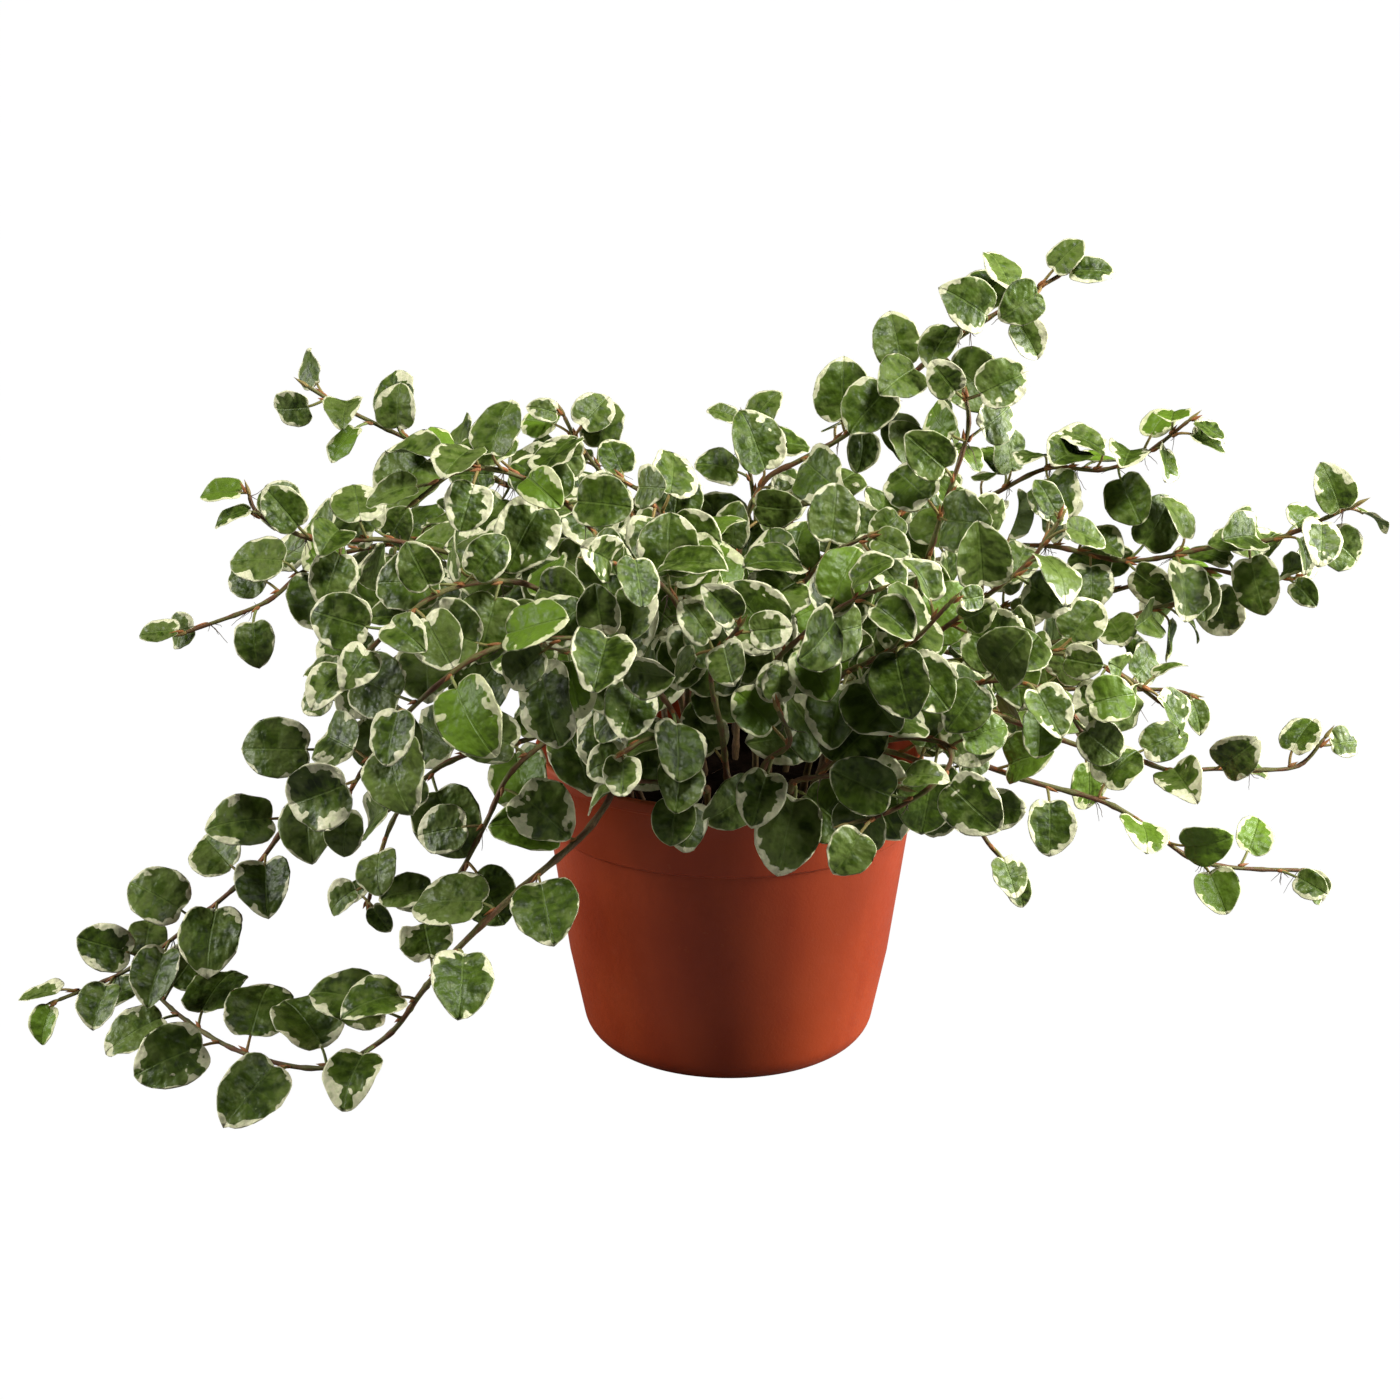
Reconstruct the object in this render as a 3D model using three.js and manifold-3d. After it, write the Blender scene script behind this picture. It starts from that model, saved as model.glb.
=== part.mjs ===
// Variegated creeping fig in a plastic nursery pot, in millimetres, +Z up.
// The origin is the middle of the pot's underside, and -Y is the front.

import * as THREE from 'three';
import { mergeVertices } from 'three/addons/utils/BufferGeometryUtils.js';
import Module from 'manifold-3d';

const wasm = await Module();
wasm.setup();

// Driving dimensions

const POT = {
  height: 96,
  rimRadius: 60.2,
  rimInnerRadius: 58.2,
  rimBand: 4,
  bandDepth: 0.7,
  bandRise: 0.6,
  lipInset: 0.3,
  collarRadius: 58,
  stepHeight: 73,
  stepRise: 1,
  baseRadius: 46,
  flare: 0.143,
  cornerRadius: 10,
  wall: 1.5,
  floor: 2,
  sides: 26,
};
const DRAIN = { count: 6, radius: 4, circle: 27, sides: 6 };
const SOIL = { surface: 85, edge: 50, edgeDrop: 1.2, gap: 0.3, stepLift: 2.4, taper: 0.5 };
const ROOT = { depth: 17, lean: 0.96, rise: 3 };
const STEM = { baseRadius: 1.6, tipRadius: 1, sides: 3, holeGap: 0.8 };
const BLADE = { ribThickness: 0.8, rimThickness: 0.65, margin: 0.4, narrowest: 0.84 };
const STALK = { length: 5.5, width: 1, widest: 0.3, firstTried: 0.2, firstKept: 0.6 };
const FLOOR_GAP = 0.3;
const WELD = 1e-4;

// How a stem runs: points of the smooth line to each point of the route, the step of the even line,
// the least distance between two stems, and how high it passes over the rim

const BEND = {
  fineness: 12,
  step: 4,
  clear: 4.7,
  closest: 0.01,
  rounds: 60,
  rooted: 2,
  rimReach: 7,
  rimLift: 4.5,
  rootReach: 49,
  floor: 1.8,
};

// How leaves sit: distance between two leaves, tries for each, angle to the stem in degrees

const GROWTH = {
  gap: 15.6,
  uneven: 0.12,
  closer: 0.4,
  tries: 34,
  lean: 62,
  leanSpread: 14,
  rise: 0.4,
  droop: 0.25,
  slack: 0.02,
  bareStep: 21,
  tipLean: 0.4,
  squarest: 0.4,
};
const SIZE = { least: 0.86, spread: 0.26 };
const TIP = { count: 3, shrink: 0.11, smallest: 12 };
const SEED = { shoot: 10007, joint: 101 };

// Points along each half of the outline: way along the leaf, way across, lift of the wave

const HALF_OUTLINE = [[0.07, 0.34, 0.2], [0.42, 0.5, -0.5], [0.8, 0.36, 0.6]];
const SMALL_OUTLINE = [[0.16, 0.42, 0.3], [0.68, 0.44, -0.4]];
const WAVE = 0.09;
const FOLD = 0.18;
const TIP_DROP = 0.05;
const SMALL_LEAF = 18.5;
const DOWN = new THREE.Vector3(0, 0, -1);

// Each shoot: where it roots, its leaf length, the side of its first leaf, the bare length from
// its root, how loosely its leaves hang, the way they face, and the points that it runs through

const SHOOTS = {
  left_floor: {
    root: [-26, -33], leaf: 21, side: 1, bare: 62, loose: 0.3, facing: [0, -0.6, 0.8],
    route: [[-31, -51, 100], [-42, -67, 90], [-61, -84, 78], [-78, -88, 62], [-89, -74, 44],
      [-102, -60, 23],
      [-121, -60, 13], [-146, -50, 13], [-168, -28, 14], [-184, -4, 15], [-192, 14, 16]],
  },
  left_long: {
    root: [-38, 2], leaf: 20, side: 1, bare: 75, loose: 0.35, facing: [-0.1, -0.7, 0.6],
    route: [[-51, -20, 119], [-76, -34, 143], [-101, -40, 132], [-115, -40, 115], [-123, -36, 98],
      [-143, -27, 66], [-166, -15, 42], [-186, -9, 25], [-199, -9, 18], [-212, -14, 14]],
  },
  left_cut: {
    root: [-38, 16], leaf: 19, side: -1, bare: 60, loose: 0.5, facing: [-0.3, -0.7, 0.6],
    route: [[-53, 20, 136], [-87, 16, 155], [-118, 10, 154], [-131, 4, 149], [-142, -2, 141],
      [-166, -8, 133]],
  },
  left_high: {
    root: [-20, 30], leaf: 20, side: 1, bare: 70, loose: 0.5, facing: [-0.2, -0.9, 0.5],
    route: [[-28, 34, 136], [-58, 36, 163], [-83, 34, 175], [-95, 32, 182], [-119, 28, 195],
      [-131, 26, 203]],
  },
  right_long: {
    root: [2, 16], leaf: 19, side: -1, bare: 85, loose: 0.8, facing: [0.1, -0.9, 0.5],
    route: [[4, 14, 125], [2, 16, 145], [5, 16, 163], [11, 15, 176], [21, 14, 182], [35, 10, 191],
      [45, 6, 201], [59, 0, 216], [75, -6, 229], [87, -8, 237], [97, -8, 243]],
  },
  right_lowest: {
    root: [42, -14], leaf: 16, side: 1, bare: 60, loose: 1.1, facing: [0.2, -0.8, 0.5],
    route: [[46, -22, 108], [69, -34, 103], [89, -38, 97], [110, -38, 91], [122, -40, 85], [136, -42, 75],
      [145, -42, 72], [158, -40, 70], [172, -38, 69]],
  },
  right_low: {
    root: [42, 4], leaf: 17, side: -1, bare: 60, loose: 1.1, facing: [0.2, -0.8, 0.5],
    route: [[48, 10, 112], [78, 10, 104], [109, 4, 94], [124, 0, 92], [137, -2, 88], [151, 0, 88],
      [166, 2, 87], [178, 4, 88], [186, 6, 97]],
  },
  right_tip: {
    root: [18, 30], leaf: 18, side: 1, bare: 75, loose: 1.0, facing: [0.2, -0.8, 0.6],
    route: [[36, 48, 132], [68, 60, 139], [100, 56, 145], [128, 48, 142], [152, 38, 149], [171, 30, 154],
      [184, 26, 161], [195, 24, 167]],
  },
  right_dark: {
    root: [26, 36], leaf: 18, side: -1, bare: 70, loose: 1.0, facing: [0.2, -0.8, 0.6],
    route: [[43, 56, 116], [76, 62, 118], [98, 60, 126], [120, 56, 129], [136, 50, 135], [151, 46, 140],
      [166, 44, 138], [181, 42, 138]],
  },
  right_back: {
    root: [8, 38], leaf: 18, side: 1, bare: 75, loose: 0.8, facing: [0.1, -0.5, 0.9],
    route: [[23, 54, 127], [52, 66, 144], [82, 68, 157], [102, 62, 169], [119, 56, 170], [132, 52, 176],
      [146, 50, 188]],
  },
  right_rise: {
    root: [28, -6], leaf: 18, side: 1, bare: 60, loose: 0.7, facing: [0.1, -0.9, 0.4],
    route: [[36, -20, 123], [47, -34, 141], [52, -40, 153], [57, -46, 168], [60, -48, 180], [64, -50, 194],
      [67, -50, 207], [65, -50, 218]],
  },
  right_inner: {
    root: [12, 6], leaf: 17, side: -1, bare: 90, loose: 0.7, facing: [0.1, -0.9, 0.5],
    route: [[14, 8, 130], [14, 12, 152], [22, 16, 168], [32, 18, 164], [44, 20, 160], [55, 21, 157],
      [67, 22, 154]],
  },
  left_drop: {
    root: [-34, -20], leaf: 21, side: -1, bare: 50, loose: 0.4, facing: [-0.2, -0.8, 0.7],
    route: [[-41, -44, 119], [-52, -58, 116], [-63, -66, 108], [-69, -70, 96], [-77, -70, 80],
      [-85, -66, 66]],
  },
  left_under: {
    root: [-40, -10], leaf: 19, side: 1, bare: 50, loose: 0.4, facing: [-0.4, -0.7, 0.6],
    route: [[-43, -30, 122], [-56, -38, 111], [-75, -46, 108], [-87, -50, 103], [-97, -54, 92],
      [-103, -54, 77], [-107, -50, 62]],
  },
  left_side: {
    root: [-32, 26], leaf: 19, side: 1, bare: 60, loose: 0.5, facing: [-0.2, -0.7, 0.8],
    route: [[-46, 6, 143], [-74, -20, 159], [-99, -34, 169], [-118, -40, 170], [-129, -42, 175],
      [-136, -42, 179], [-138, -42, 185]],
  },
  left_front: {
    root: [-30, -8], leaf: 21, side: 1, bare: 60, loose: 0.4, facing: [-0.2, -0.8, 0.6],
    route: [[-38, -46, 139], [-55, -74, 166], [-76, -92, 170], [-91, -100, 161], [-105, -100, 147]],
  },
  left_mid: {
    root: [-22, -2], leaf: 20, side: -1, bare: 60, loose: 0.4, facing: [-0.1, -0.8, 0.7],
    route: [[-27, -24, 145], [-39, -56, 178], [-55, -74, 196], [-72, -82, 201], [-85, -86, 193]],
  },
  left_low: {
    root: [-30, -24], leaf: 22, side: -1, bare: 55, loose: 0.35, facing: [-0.3, -0.8, 0.5],
    route: [[-31, -60, 132], [-46, -88, 152], [-64, -102, 156], [-83, -106, 143], [-98, -100, 124],
      [-108, -94, 107]],
  },
  crown_left: {
    root: [-12, 14], leaf: 19, side: 1, bare: 60, loose: 0.45, facing: [0, -0.9, 0.6],
    route: [[-23, 4, 147], [-32, 2, 173], [-40, 0, 183], [-46, -2, 192], [-50, -2, 200]],
  },
  crown_mid: {
    root: [-8, 2], leaf: 20, side: -1, bare: 55, loose: 0.45, facing: [0, -0.8, 0.7],
    route: [[-12, -10, 132], [-15, -22, 160], [-22, -34, 180], [-31, -42, 189]],
  },
  crown_front: {
    root: [-14, -12], leaf: 20, side: 1, bare: 55, loose: 0.45, facing: [0, -0.8, 0.7],
    route: [[-12, -40, 129], [-14, -66, 157], [-24, -84, 173], [-38, -94, 179]],
  },
  crown_right: {
    root: [8, 24], leaf: 19, side: 1, bare: 60, loose: 0.5, facing: [0, -0.9, 0.5],
    route: [[2, 30, 134], [8, 32, 156], [6, 30, 176], [4, 28, 192]],
  },
  front_big: {
    root: [12, -26], leaf: 20, side: -1, bare: 50, loose: 0.4, facing: [0, -0.9, 0.5],
    route: [[12, -60, 135], [19, -84, 154], [31, -96, 167], [40, -102, 173]],
  },
  right_rim: {
    root: [24, -40], leaf: 21, side: 1, bare: 45, loose: 0.35, facing: [0, -0.9, 0.4],
    route: [[29, -62, 111], [48, -80, 124], [61, -92, 125], [57, -97, 117], [44, -99, 109], [32, -99, 105]],
  },
  right_drop: {
    root: [34, -32], leaf: 18, side: -1, bare: 45, loose: 0.5, facing: [0.1, -0.9, 0.4],
    route: [[41, -56, 112], [59, -76, 113], [66, -88, 107], [72, -94, 98], [78, -96, 92]],
  },
  right_crowd: {
    root: [36, -26], leaf: 19, side: 1, bare: 50, loose: 0.55, facing: [0.1, -0.9, 0.5],
    route: [[43, -60, 124], [61, -80, 138], [77, -90, 144], [90, -92, 139], [98, -90, 128]],
  },
  right_front: {
    root: [22, -26], leaf: 20, side: 1, bare: 50, loose: 0.5, facing: [0.1, -0.9, 0.5],
    route: [[29, -64, 133], [37, -88, 148], [49, -100, 158], [59, -106, 171]],
  },
  right_fan: {
    root: [32, -20], leaf: 18, side: -1, bare: 60, loose: 0.6, facing: [0.1, -0.9, 0.5],
    route: [[41, -50, 132], [56, -70, 150], [70, -78, 164], [82, -80, 175], [90, -80, 187]],
  },
  right_edge: {
    root: [40, -6], leaf: 18, side: 1, bare: 60, loose: 0.8, facing: [0.2, -0.8, 0.6],
    route: [[52, -14, 121], [75, -22, 130], [98, -30, 134], [115, -34, 129], [128, -36, 120]],
  },
  right_mid: {
    root: [18, 6], leaf: 18, side: -1, bare: 60, loose: 0.6, facing: [0.1, -0.8, 0.7],
    route: [[25, 4, 134], [40, 2, 154], [53, 0, 172], [61, -2, 188], [64, -4, 197]],
  },
  right_light: {
    root: [34, 14], leaf: 17, side: 1, bare: 60, loose: 0.9, facing: [0.2, -0.8, 0.6],
    route: [[45, 28, 118], [74, 30, 110], [100, 26, 106], [111, 22, 107], [137, 18, 108], [145, 16, 107]],
  },
  right_thin: {
    root: [36, 26], leaf: 17, side: -1, bare: 60, loose: 1.0, facing: [0.2, -0.8, 0.6],
    route: [[49, 46, 116], [74, 50, 110], [88, 50, 113], [107, 48, 115], [123, 44, 121], [134, 40, 128],
      [146, 36, 132]],
  },
  front_left: {
    root: [-18, -34], leaf: 20, side: 1, bare: 36, loose: 0.45, facing: [-0.1, -0.9, 0.5],
    route: [[-14, -62, 120], [-25, -88, 146], [-39, -100, 158], [-53, -106, 160]],
  },
  front_rim: {
    root: [-14, -44], leaf: 19, side: -1, bare: 36, loose: 0.45, facing: [-0.1, -0.9, 0.4],
    route: [[-11, -62, 111], [-21, -78, 123], [-30, -88, 122]],
  },
  front_mid: {
    root: [0, -36], leaf: 19, side: 1, bare: 36, loose: 0.45, facing: [0, -0.9, 0.5],
    route: [[-2, -62, 119], [-5, -84, 145], [3, -94, 161]],
  },
  front_right: {
    root: [10, -45], leaf: 19, side: 1, bare: 36, loose: 0.45, facing: [0.1, -0.9, 0.4],
    route: [[10, -66, 111], [17, -84, 124], [13, -90, 136]],
  },
  front_spill_left: {
    root: [-6, -47], leaf: 17, side: -1, bare: 34, loose: 0.45, facing: [-0.1, -0.9, 0.4],
    route: [[-8, -66, 105], [-19, -78, 110], [-32, -82, 112]],
  },
  front_spill_right: {
    root: [19, -45], leaf: 20, side: 1, bare: 34, loose: 0.4, facing: [0.1, -0.9, 0.4],
    route: [[18, -66, 105], [24, -82, 113], [36, -92, 117], [48, -100, 116]],
  },
  front_high: {
    root: [8, -10], leaf: 20, side: -1, bare: 60, loose: 0.5, facing: [0, -0.8, 0.7],
    route: [[9, -30, 135], [20, -50, 159], [28, -62, 172], [39, -70, 180]],
  },
  back_left: {
    root: [-12, 42], leaf: 20, side: 1, bare: 55, loose: 0.4, facing: [-0.2, 0.6, 0.8],
    route: [[-22, 66, 124], [-38, 96, 138], [-54, 118, 126], [-64, 132, 100]],
  },
  back_far_left: {
    root: [-28, 38], leaf: 20, side: -1, bare: 55, loose: 0.4, facing: [-0.5, 0.4, 0.8],
    route: [[-48, 50, 132], [-78, 66, 148], [-104, 78, 140], [-120, 86, 118]],
  },
  back_mid: {
    root: [2, 46], leaf: 20, side: 1, bare: 55, loose: 0.4, facing: [0, 0.6, 0.8],
    route: [[0, 72, 120], [-4, 104, 128], [-2, 128, 108], [2, 140, 84]],
  },
  back_right: {
    root: [18, 43], leaf: 19, side: -1, bare: 55, loose: 0.4, facing: [0.3, 0.6, 0.7],
    route: [[26, 70, 112], [42, 98, 120], [56, 118, 108], [64, 130, 88]],
  },
};

// Colours as the photo shows them

const POT_PLASTIC = new THREE.MeshStandardMaterial({ color: 0x9c3f22, roughness: 0.5, metalness: 0 });
const PEAT = new THREE.MeshStandardMaterial({ color: 0x1d1612, roughness: 1, metalness: 0 });
const LEAFY = new THREE.MeshStandardMaterial({ color: 0x4d6b3a, roughness: 0.55, metalness: 0 });

// Repeatable random numbers from 0 to 1

function seededRandom(seed) {
  let state = seed >>> 0;
  return () => {
    state = (state + 0x6d2b79f5) >>> 0;
    let mixed = Math.imul(state ^ (state >>> 15), state | 1);
    mixed ^= mixed + Math.imul(mixed ^ (mixed >>> 7), mixed | 61);
    return ((mixed ^ (mixed >>> 14)) >>> 0) / 4294967296;
  };
}

// Solids for joining and cutting

function toSolid(geometry) {
  const bare = geometry.clone();
  bare.deleteAttribute('normal');
  bare.deleteAttribute('uv');
  const merged = mergeVertices(bare, WELD);
  return new wasm.Manifold(new wasm.Mesh({
    numProp: 3,
    vertProperties: new Float32Array(merged.attributes.position.array),
    triVerts: new Uint32Array(merged.index.array),
  }));
}

function toGeometry(solid) {
  const mesh = solid.getMesh();
  const geometry = new THREE.BufferGeometry();
  geometry.setAttribute('position', new THREE.BufferAttribute(mesh.vertProperties, 3));
  geometry.setIndex(new THREE.BufferAttribute(mesh.triVerts, 1));
  return geometry;
}

function namedMesh(name, geometry, material) {
  geometry.computeVertexNormals();
  const mesh = new THREE.Mesh(geometry, material);
  mesh.name = name;
  return mesh;
}

// A profile of [radius, height] points turned round the upright axis

function turned(profile, sides) {
  const points = profile.map(([radius, height]) => new THREE.Vector2(radius, height));
  return new THREE.LatheGeometry(points, sides).rotateX(Math.PI / 2);
}

// Pot: tapered body, a step out to the straight collar, and a rounded rim

function bodyRadius(height) {
  return POT.baseRadius + POT.flare * height;
}

function potSolid() {
  const { height, wall, floor, stepHeight, cornerRadius } = POT;
  const cornerStart = POT.baseRadius - cornerRadius;
  const corner = [30, 60].map((degrees) => {
    const turn = THREE.MathUtils.degToRad(degrees);
    return [cornerStart + cornerRadius * Math.sin(turn), cornerRadius * (1 - Math.cos(turn))];
  });
  const outside = [
    [0, 0],
    [cornerStart, 0],
    ...corner,
    [bodyRadius(cornerRadius), cornerRadius],
    [bodyRadius(stepHeight), stepHeight],
    [POT.collarRadius, stepHeight + POT.stepRise],
    [POT.rimRadius - POT.bandDepth, height - POT.rimBand],
    [POT.rimRadius, height - POT.rimBand + POT.bandRise],
    [POT.rimRadius - POT.lipInset, height],
  ];
  const inside = [
    [POT.rimInnerRadius, height],
    [POT.collarRadius - wall, stepHeight + 2 * POT.stepRise],
    [bodyRadius(stepHeight) - wall, stepHeight],
    [bodyRadius(cornerRadius) - wall, cornerRadius],
    [cornerStart, floor],
    [0, floor],
  ];
  const shell = toSolid(turned([...outside, ...inside], POT.sides));
  return drainHoles().reduce((pot, hole) => pot.subtract(hole), shell);
}

function drainHoles() {
  return Array.from({ length: DRAIN.count }, (_, index) => {
    const turn = (index + 0.5) * 2 * Math.PI / DRAIN.count;
    const hole = new THREE.CylinderGeometry(DRAIN.radius, DRAIN.radius, 4 * POT.floor, DRAIN.sides);
    hole.rotateX(Math.PI / 2);
    hole.translate(DRAIN.circle * Math.cos(turn), DRAIN.circle * Math.sin(turn), POT.floor / 2);
    return toSolid(hole);
  });
}

// Soil: fills the pot inside, a little lower at its edge

function soilSolid() {
  const inset = POT.wall + SOIL.gap;
  const { cornerRadius, stepHeight, collarRadius } = POT;
  const profile = [
    [0, POT.floor + SOIL.gap],
    [POT.baseRadius - cornerRadius, POT.floor + SOIL.gap],
    [bodyRadius(cornerRadius) - inset, cornerRadius],
    [bodyRadius(stepHeight) - inset, stepHeight],
    [collarRadius - inset, stepHeight + SOIL.stepLift],
    [collarRadius - inset + SOIL.taper, SOIL.surface - SOIL.edgeDrop],
    [SOIL.edge, SOIL.surface],
    [0, SOIL.surface],
  ];
  return toSolid(turned(profile, POT.sides));
}

// Stem lines: a smooth line through each route, in even steps

function routePoints(shoot) {
  const [x, y] = shoot.root;
  return [
    new THREE.Vector3(ROOT.lean * x, ROOT.lean * y, SOIL.surface - ROOT.depth),
    new THREE.Vector3(x, y, SOIL.surface + ROOT.rise),
    ...shoot.route.map((point) => new THREE.Vector3(...point)),
  ];
}

function lineLength(line) {
  return line.slice(1).reduce((sum, point, index) => sum + point.distanceTo(line[index]), 0);
}

// The point at a given distance along a line of points

function pointAlong(line, distance) {
  let left = distance;
  for (let i = 1; i < line.length; i += 1) {
    const length = line[i].distanceTo(line[i - 1]);
    if (left <= length) {
      return line[i - 1].clone().lerp(line[i], left / length);
    }
    left -= length;
  }
  return line[line.length - 1].clone();
}

function smoothLine(shoot) {
  const route = routePoints(shoot);
  const curve = new THREE.CatmullRomCurve3(route, false, 'catmullrom', 0.5);
  const fine = curve.getPoints(BEND.fineness * (route.length - 1));
  const length = lineLength(fine);
  const steps = Math.round(length / BEND.step);
  return Array.from({ length: steps + 1 }, (_, index) => pointAlong(fine, index * length / steps));
}

// Stems are bent clear of each other: points of two stems that come too near push apart

function pushes(lines) {
  const push = lines.map((line) => line.map(() => new THREE.Vector3()));
  const gap = new THREE.Vector3();
  for (let a = 0; a < lines.length; a += 1) {
    for (let b = a + 1; b < lines.length; b += 1) {
      for (let i = 0; i < lines[a].length; i += 1) {
        for (let j = 0; j < lines[b].length; j += 1) {
          gap.subVectors(lines[a][i], lines[b][j]);
          const distance = gap.length();
          if (distance < BEND.clear) {
            gap.multiplyScalar(0.5 * (BEND.clear - distance) / Math.max(distance, BEND.closest));
            push[a][i].add(gap);
            push[b][j].sub(gap);
          }
        }
      }
    }
  }
  return push;
}

// Each point moves with its neighbours, so that a bend stays smooth

function spreadPush(push) {
  return push.map((own, index) => {
    const before = push[Math.max(index - 1, 0)];
    const after = push[Math.min(index + 1, push.length - 1)];
    return own.clone().multiplyScalar(0.5).addScaledVector(before, 0.25).addScaledVector(after, 0.25);
  });
}

// Roots stay in the soil, and what passes over the rim clears it

function keepInPlace(point, index) {
  const reach = Math.hypot(point.x, point.y);
  const inPot = point.z < SOIL.surface + ROOT.rise && reach < POT.rimInnerRadius;
  if (inPot && reach > BEND.rootReach) {
    point.x *= BEND.rootReach / reach;
    point.y *= BEND.rootReach / reach;
  }
  const overRim = Math.abs(reach - POT.rimRadius) < BEND.rimReach;
  if (overRim && index > BEND.rooted) {
    point.z = Math.max(point.z, POT.height + BEND.rimLift);
  }
  point.z = Math.max(point.z, BEND.floor);
}

function bendClear(lines) {
  for (let round = 0; round < BEND.rounds; round += 1) {
    const push = pushes(lines).map((own) => spreadPush(spreadPush(own)));
    lines.forEach((line, a) => line.forEach((point, i) => {
      point.add(push[a][i]);
      keepInPlace(point, i);
    }));
  }
  return lines;
}

function bareJoints(shoot) {
  return Math.round(shoot.bare / GROWTH.bareStep);
}

// Joints of a stem: a few along the bare foot, then one for each leaf, closer towards the tip

function stemJoints(line, shoot, seed) {
  const random = seededRandom(seed);
  const length = lineLength(line);
  const joints = [];
  const bareSteps = bareJoints(shoot);
  for (let step = 0; step < bareSteps; step += 1) {
    joints.push(pointAlong(line, step * shoot.bare / bareSteps));
  }
  let distance = shoot.bare;
  while (distance < length - 0.5 * GROWTH.gap) {
    joints.push(pointAlong(line, distance));
    const closer = 1 - GROWTH.closer * (distance / length) ** 3;
    distance += GROWTH.gap * closer * (1 + GROWTH.uneven * (2 * random() - 1));
  }
  joints.push(line[line.length - 1].clone());
  return joints;
}

// A closed skin of corners and triangles

class Skin {
  corners = [];
  triangles = [];

  corner(point) {
    this.corners.push(point);
    return this.corners.length - 1;
  }

  triangle(...abc) {
    this.triangles.push(...abc);
  }

  // A band of triangles between two rings of corners that run the same way round

  band(near, far) {
    near.forEach((corner, index) => {
      const next = (index + 1) % near.length;
      this.triangle(corner, near[next], far[next], corner, far[next], far[index]);
    });
  }

  cap(ring) {
    for (let i = 1; i < ring.length - 1; i += 1) {
      this.triangle(ring[0], ring[i], ring[i + 1]);
    }
  }

  geometry() {
    const geometry = new THREE.BufferGeometry().setFromPoints(this.corners);
    geometry.setIndex(this.triangles);
    return geometry;
  }
}

function directionAt(joints, index) {
  const before = joints[Math.max(index - 1, 0)];
  const after = joints[Math.min(index + 1, joints.length - 1)];
  return new THREE.Vector3().subVectors(after, before).normalize();
}

function stemRadius(share) {
  return THREE.MathUtils.lerp(STEM.baseRadius, STEM.tipRadius, share);
}

// Three corners round each joint, turned as little as possible from joint to joint

function stemRings(skin, joints, facing, extra = 0) {
  const front = new THREE.Vector3(...facing);
  return joints.map((joint, index) => {
    const along = directionAt(joints, index);
    front.addScaledVector(along, -front.dot(along)).normalize();
    const side = new THREE.Vector3().crossVectors(along, front);
    const radius = stemRadius(index / (joints.length - 1)) + extra;
    return Array.from({ length: STEM.sides }, (_, corner) => {
      const turn = 2 * Math.PI * corner / STEM.sides;
      const point = joint.clone().addScaledVector(front, radius * Math.cos(turn));
      return skin.corner(point.addScaledVector(side, radius * Math.sin(turn)));
    });
  });
}

function bareStem(joints, facing, extra = 0) {
  const skin = new Skin();
  const rings = stemRings(skin, joints, facing, extra);
  for (let i = 1; i < rings.length; i += 1) {
    skin.band(rings[i - 1], rings[i]);
  }
  skin.cap([...rings[0]].reverse());
  skin.cap(rings[rings.length - 1]);
  return skin.geometry();
}

// A plain hole in the soil round the foot of a stem

function stemHole(stem) {
  const start = stem.joints[0].clone().addScaledVector(directionAt(stem.joints, 0), -SOIL.gap);
  const above = stem.joints.findIndex((joint) => joint.z > SOIL.surface + STEM.holeGap);
  return toSolid(bareStem([start, ...stem.joints.slice(1, above + 1)], stem.shoot.facing, STEM.holeGap));
}

// Where a leaf could sit behind a joint: its face looks the shoot's way, with some wobble, and
// it points forward and to its own side of the stem

function leafFrame(joints, index, shoot, random, slack) {
  const along = new THREE.Vector3().subVectors(joints[index + 1], joints[index]).normalize();
  const root = joints[index].clone().lerp(joints[index + 1], 0.5);
  const wobble = new THREE.Vector3(2 * random() - 1, 2 * random() - 1, 2 * random() - 1);
  const normal = new THREE.Vector3(...shoot.facing).normalize().addScaledVector(wobble, slack).normalize();
  const forward = along.clone().addScaledVector(DOWN, GROWTH.droop);
  forward.addScaledVector(normal, -forward.dot(normal)).normalize();
  const side = (index % 2 === 0 ? 1 : -1) * shoot.side;
  const outward = new THREE.Vector3().crossVectors(normal, forward).multiplyScalar(side);
  const ending = index === joints.length - 2 ? GROWTH.tipLean : 1;
  const degrees = ending * (GROWTH.lean + GROWTH.leanSpread * (2 * random() - 1));
  const lean = THREE.MathUtils.degToRad(degrees);
  const axis = forward.clone().multiplyScalar(Math.cos(lean)).addScaledVector(outward, Math.sin(lean));
  const across = new THREE.Vector3().crossVectors(normal, axis);
  const stalk = axis.clone().addScaledVector(normal, GROWTH.rise).setLength(STALK.length);
  return { root, base: root.clone().add(stalk), axis, normal, across };
}

function leafSize(shoot, fromTip, random) {
  const young = Math.max(0, TIP.count - fromTip) * TIP.shrink;
  return Math.max(shoot.leaf * (1 - young), TIP.smallest) * (SIZE.least + SIZE.spread * random());
}

// The corners round a blade, from the left of its base over the tip to the right of its base

function bladeCorners(leaf, grow) {
  const half = leaf.length > SMALL_LEAF ? HALF_OUTLINE : SMALL_OUTLINE;
  const length = leaf.length + 2 * grow;
  const width = leaf.width + 2 * grow;
  const halfSide = (side) => half.map(([x, y, wave]) => ({
    x: x * length - grow,
    y: side * y * width,
    z: (FOLD * y + WAVE * leaf.wave * wave * side) * leaf.length,
  }));
  const tip = { x: length - grow, y: 0, z: -TIP_DROP * leaf.length };
  return [...halfSide(1), tip, ...halfSide(-1).reverse()];
}

// Four corners round the end of a stalk, counted round the way that the leaf points

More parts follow.
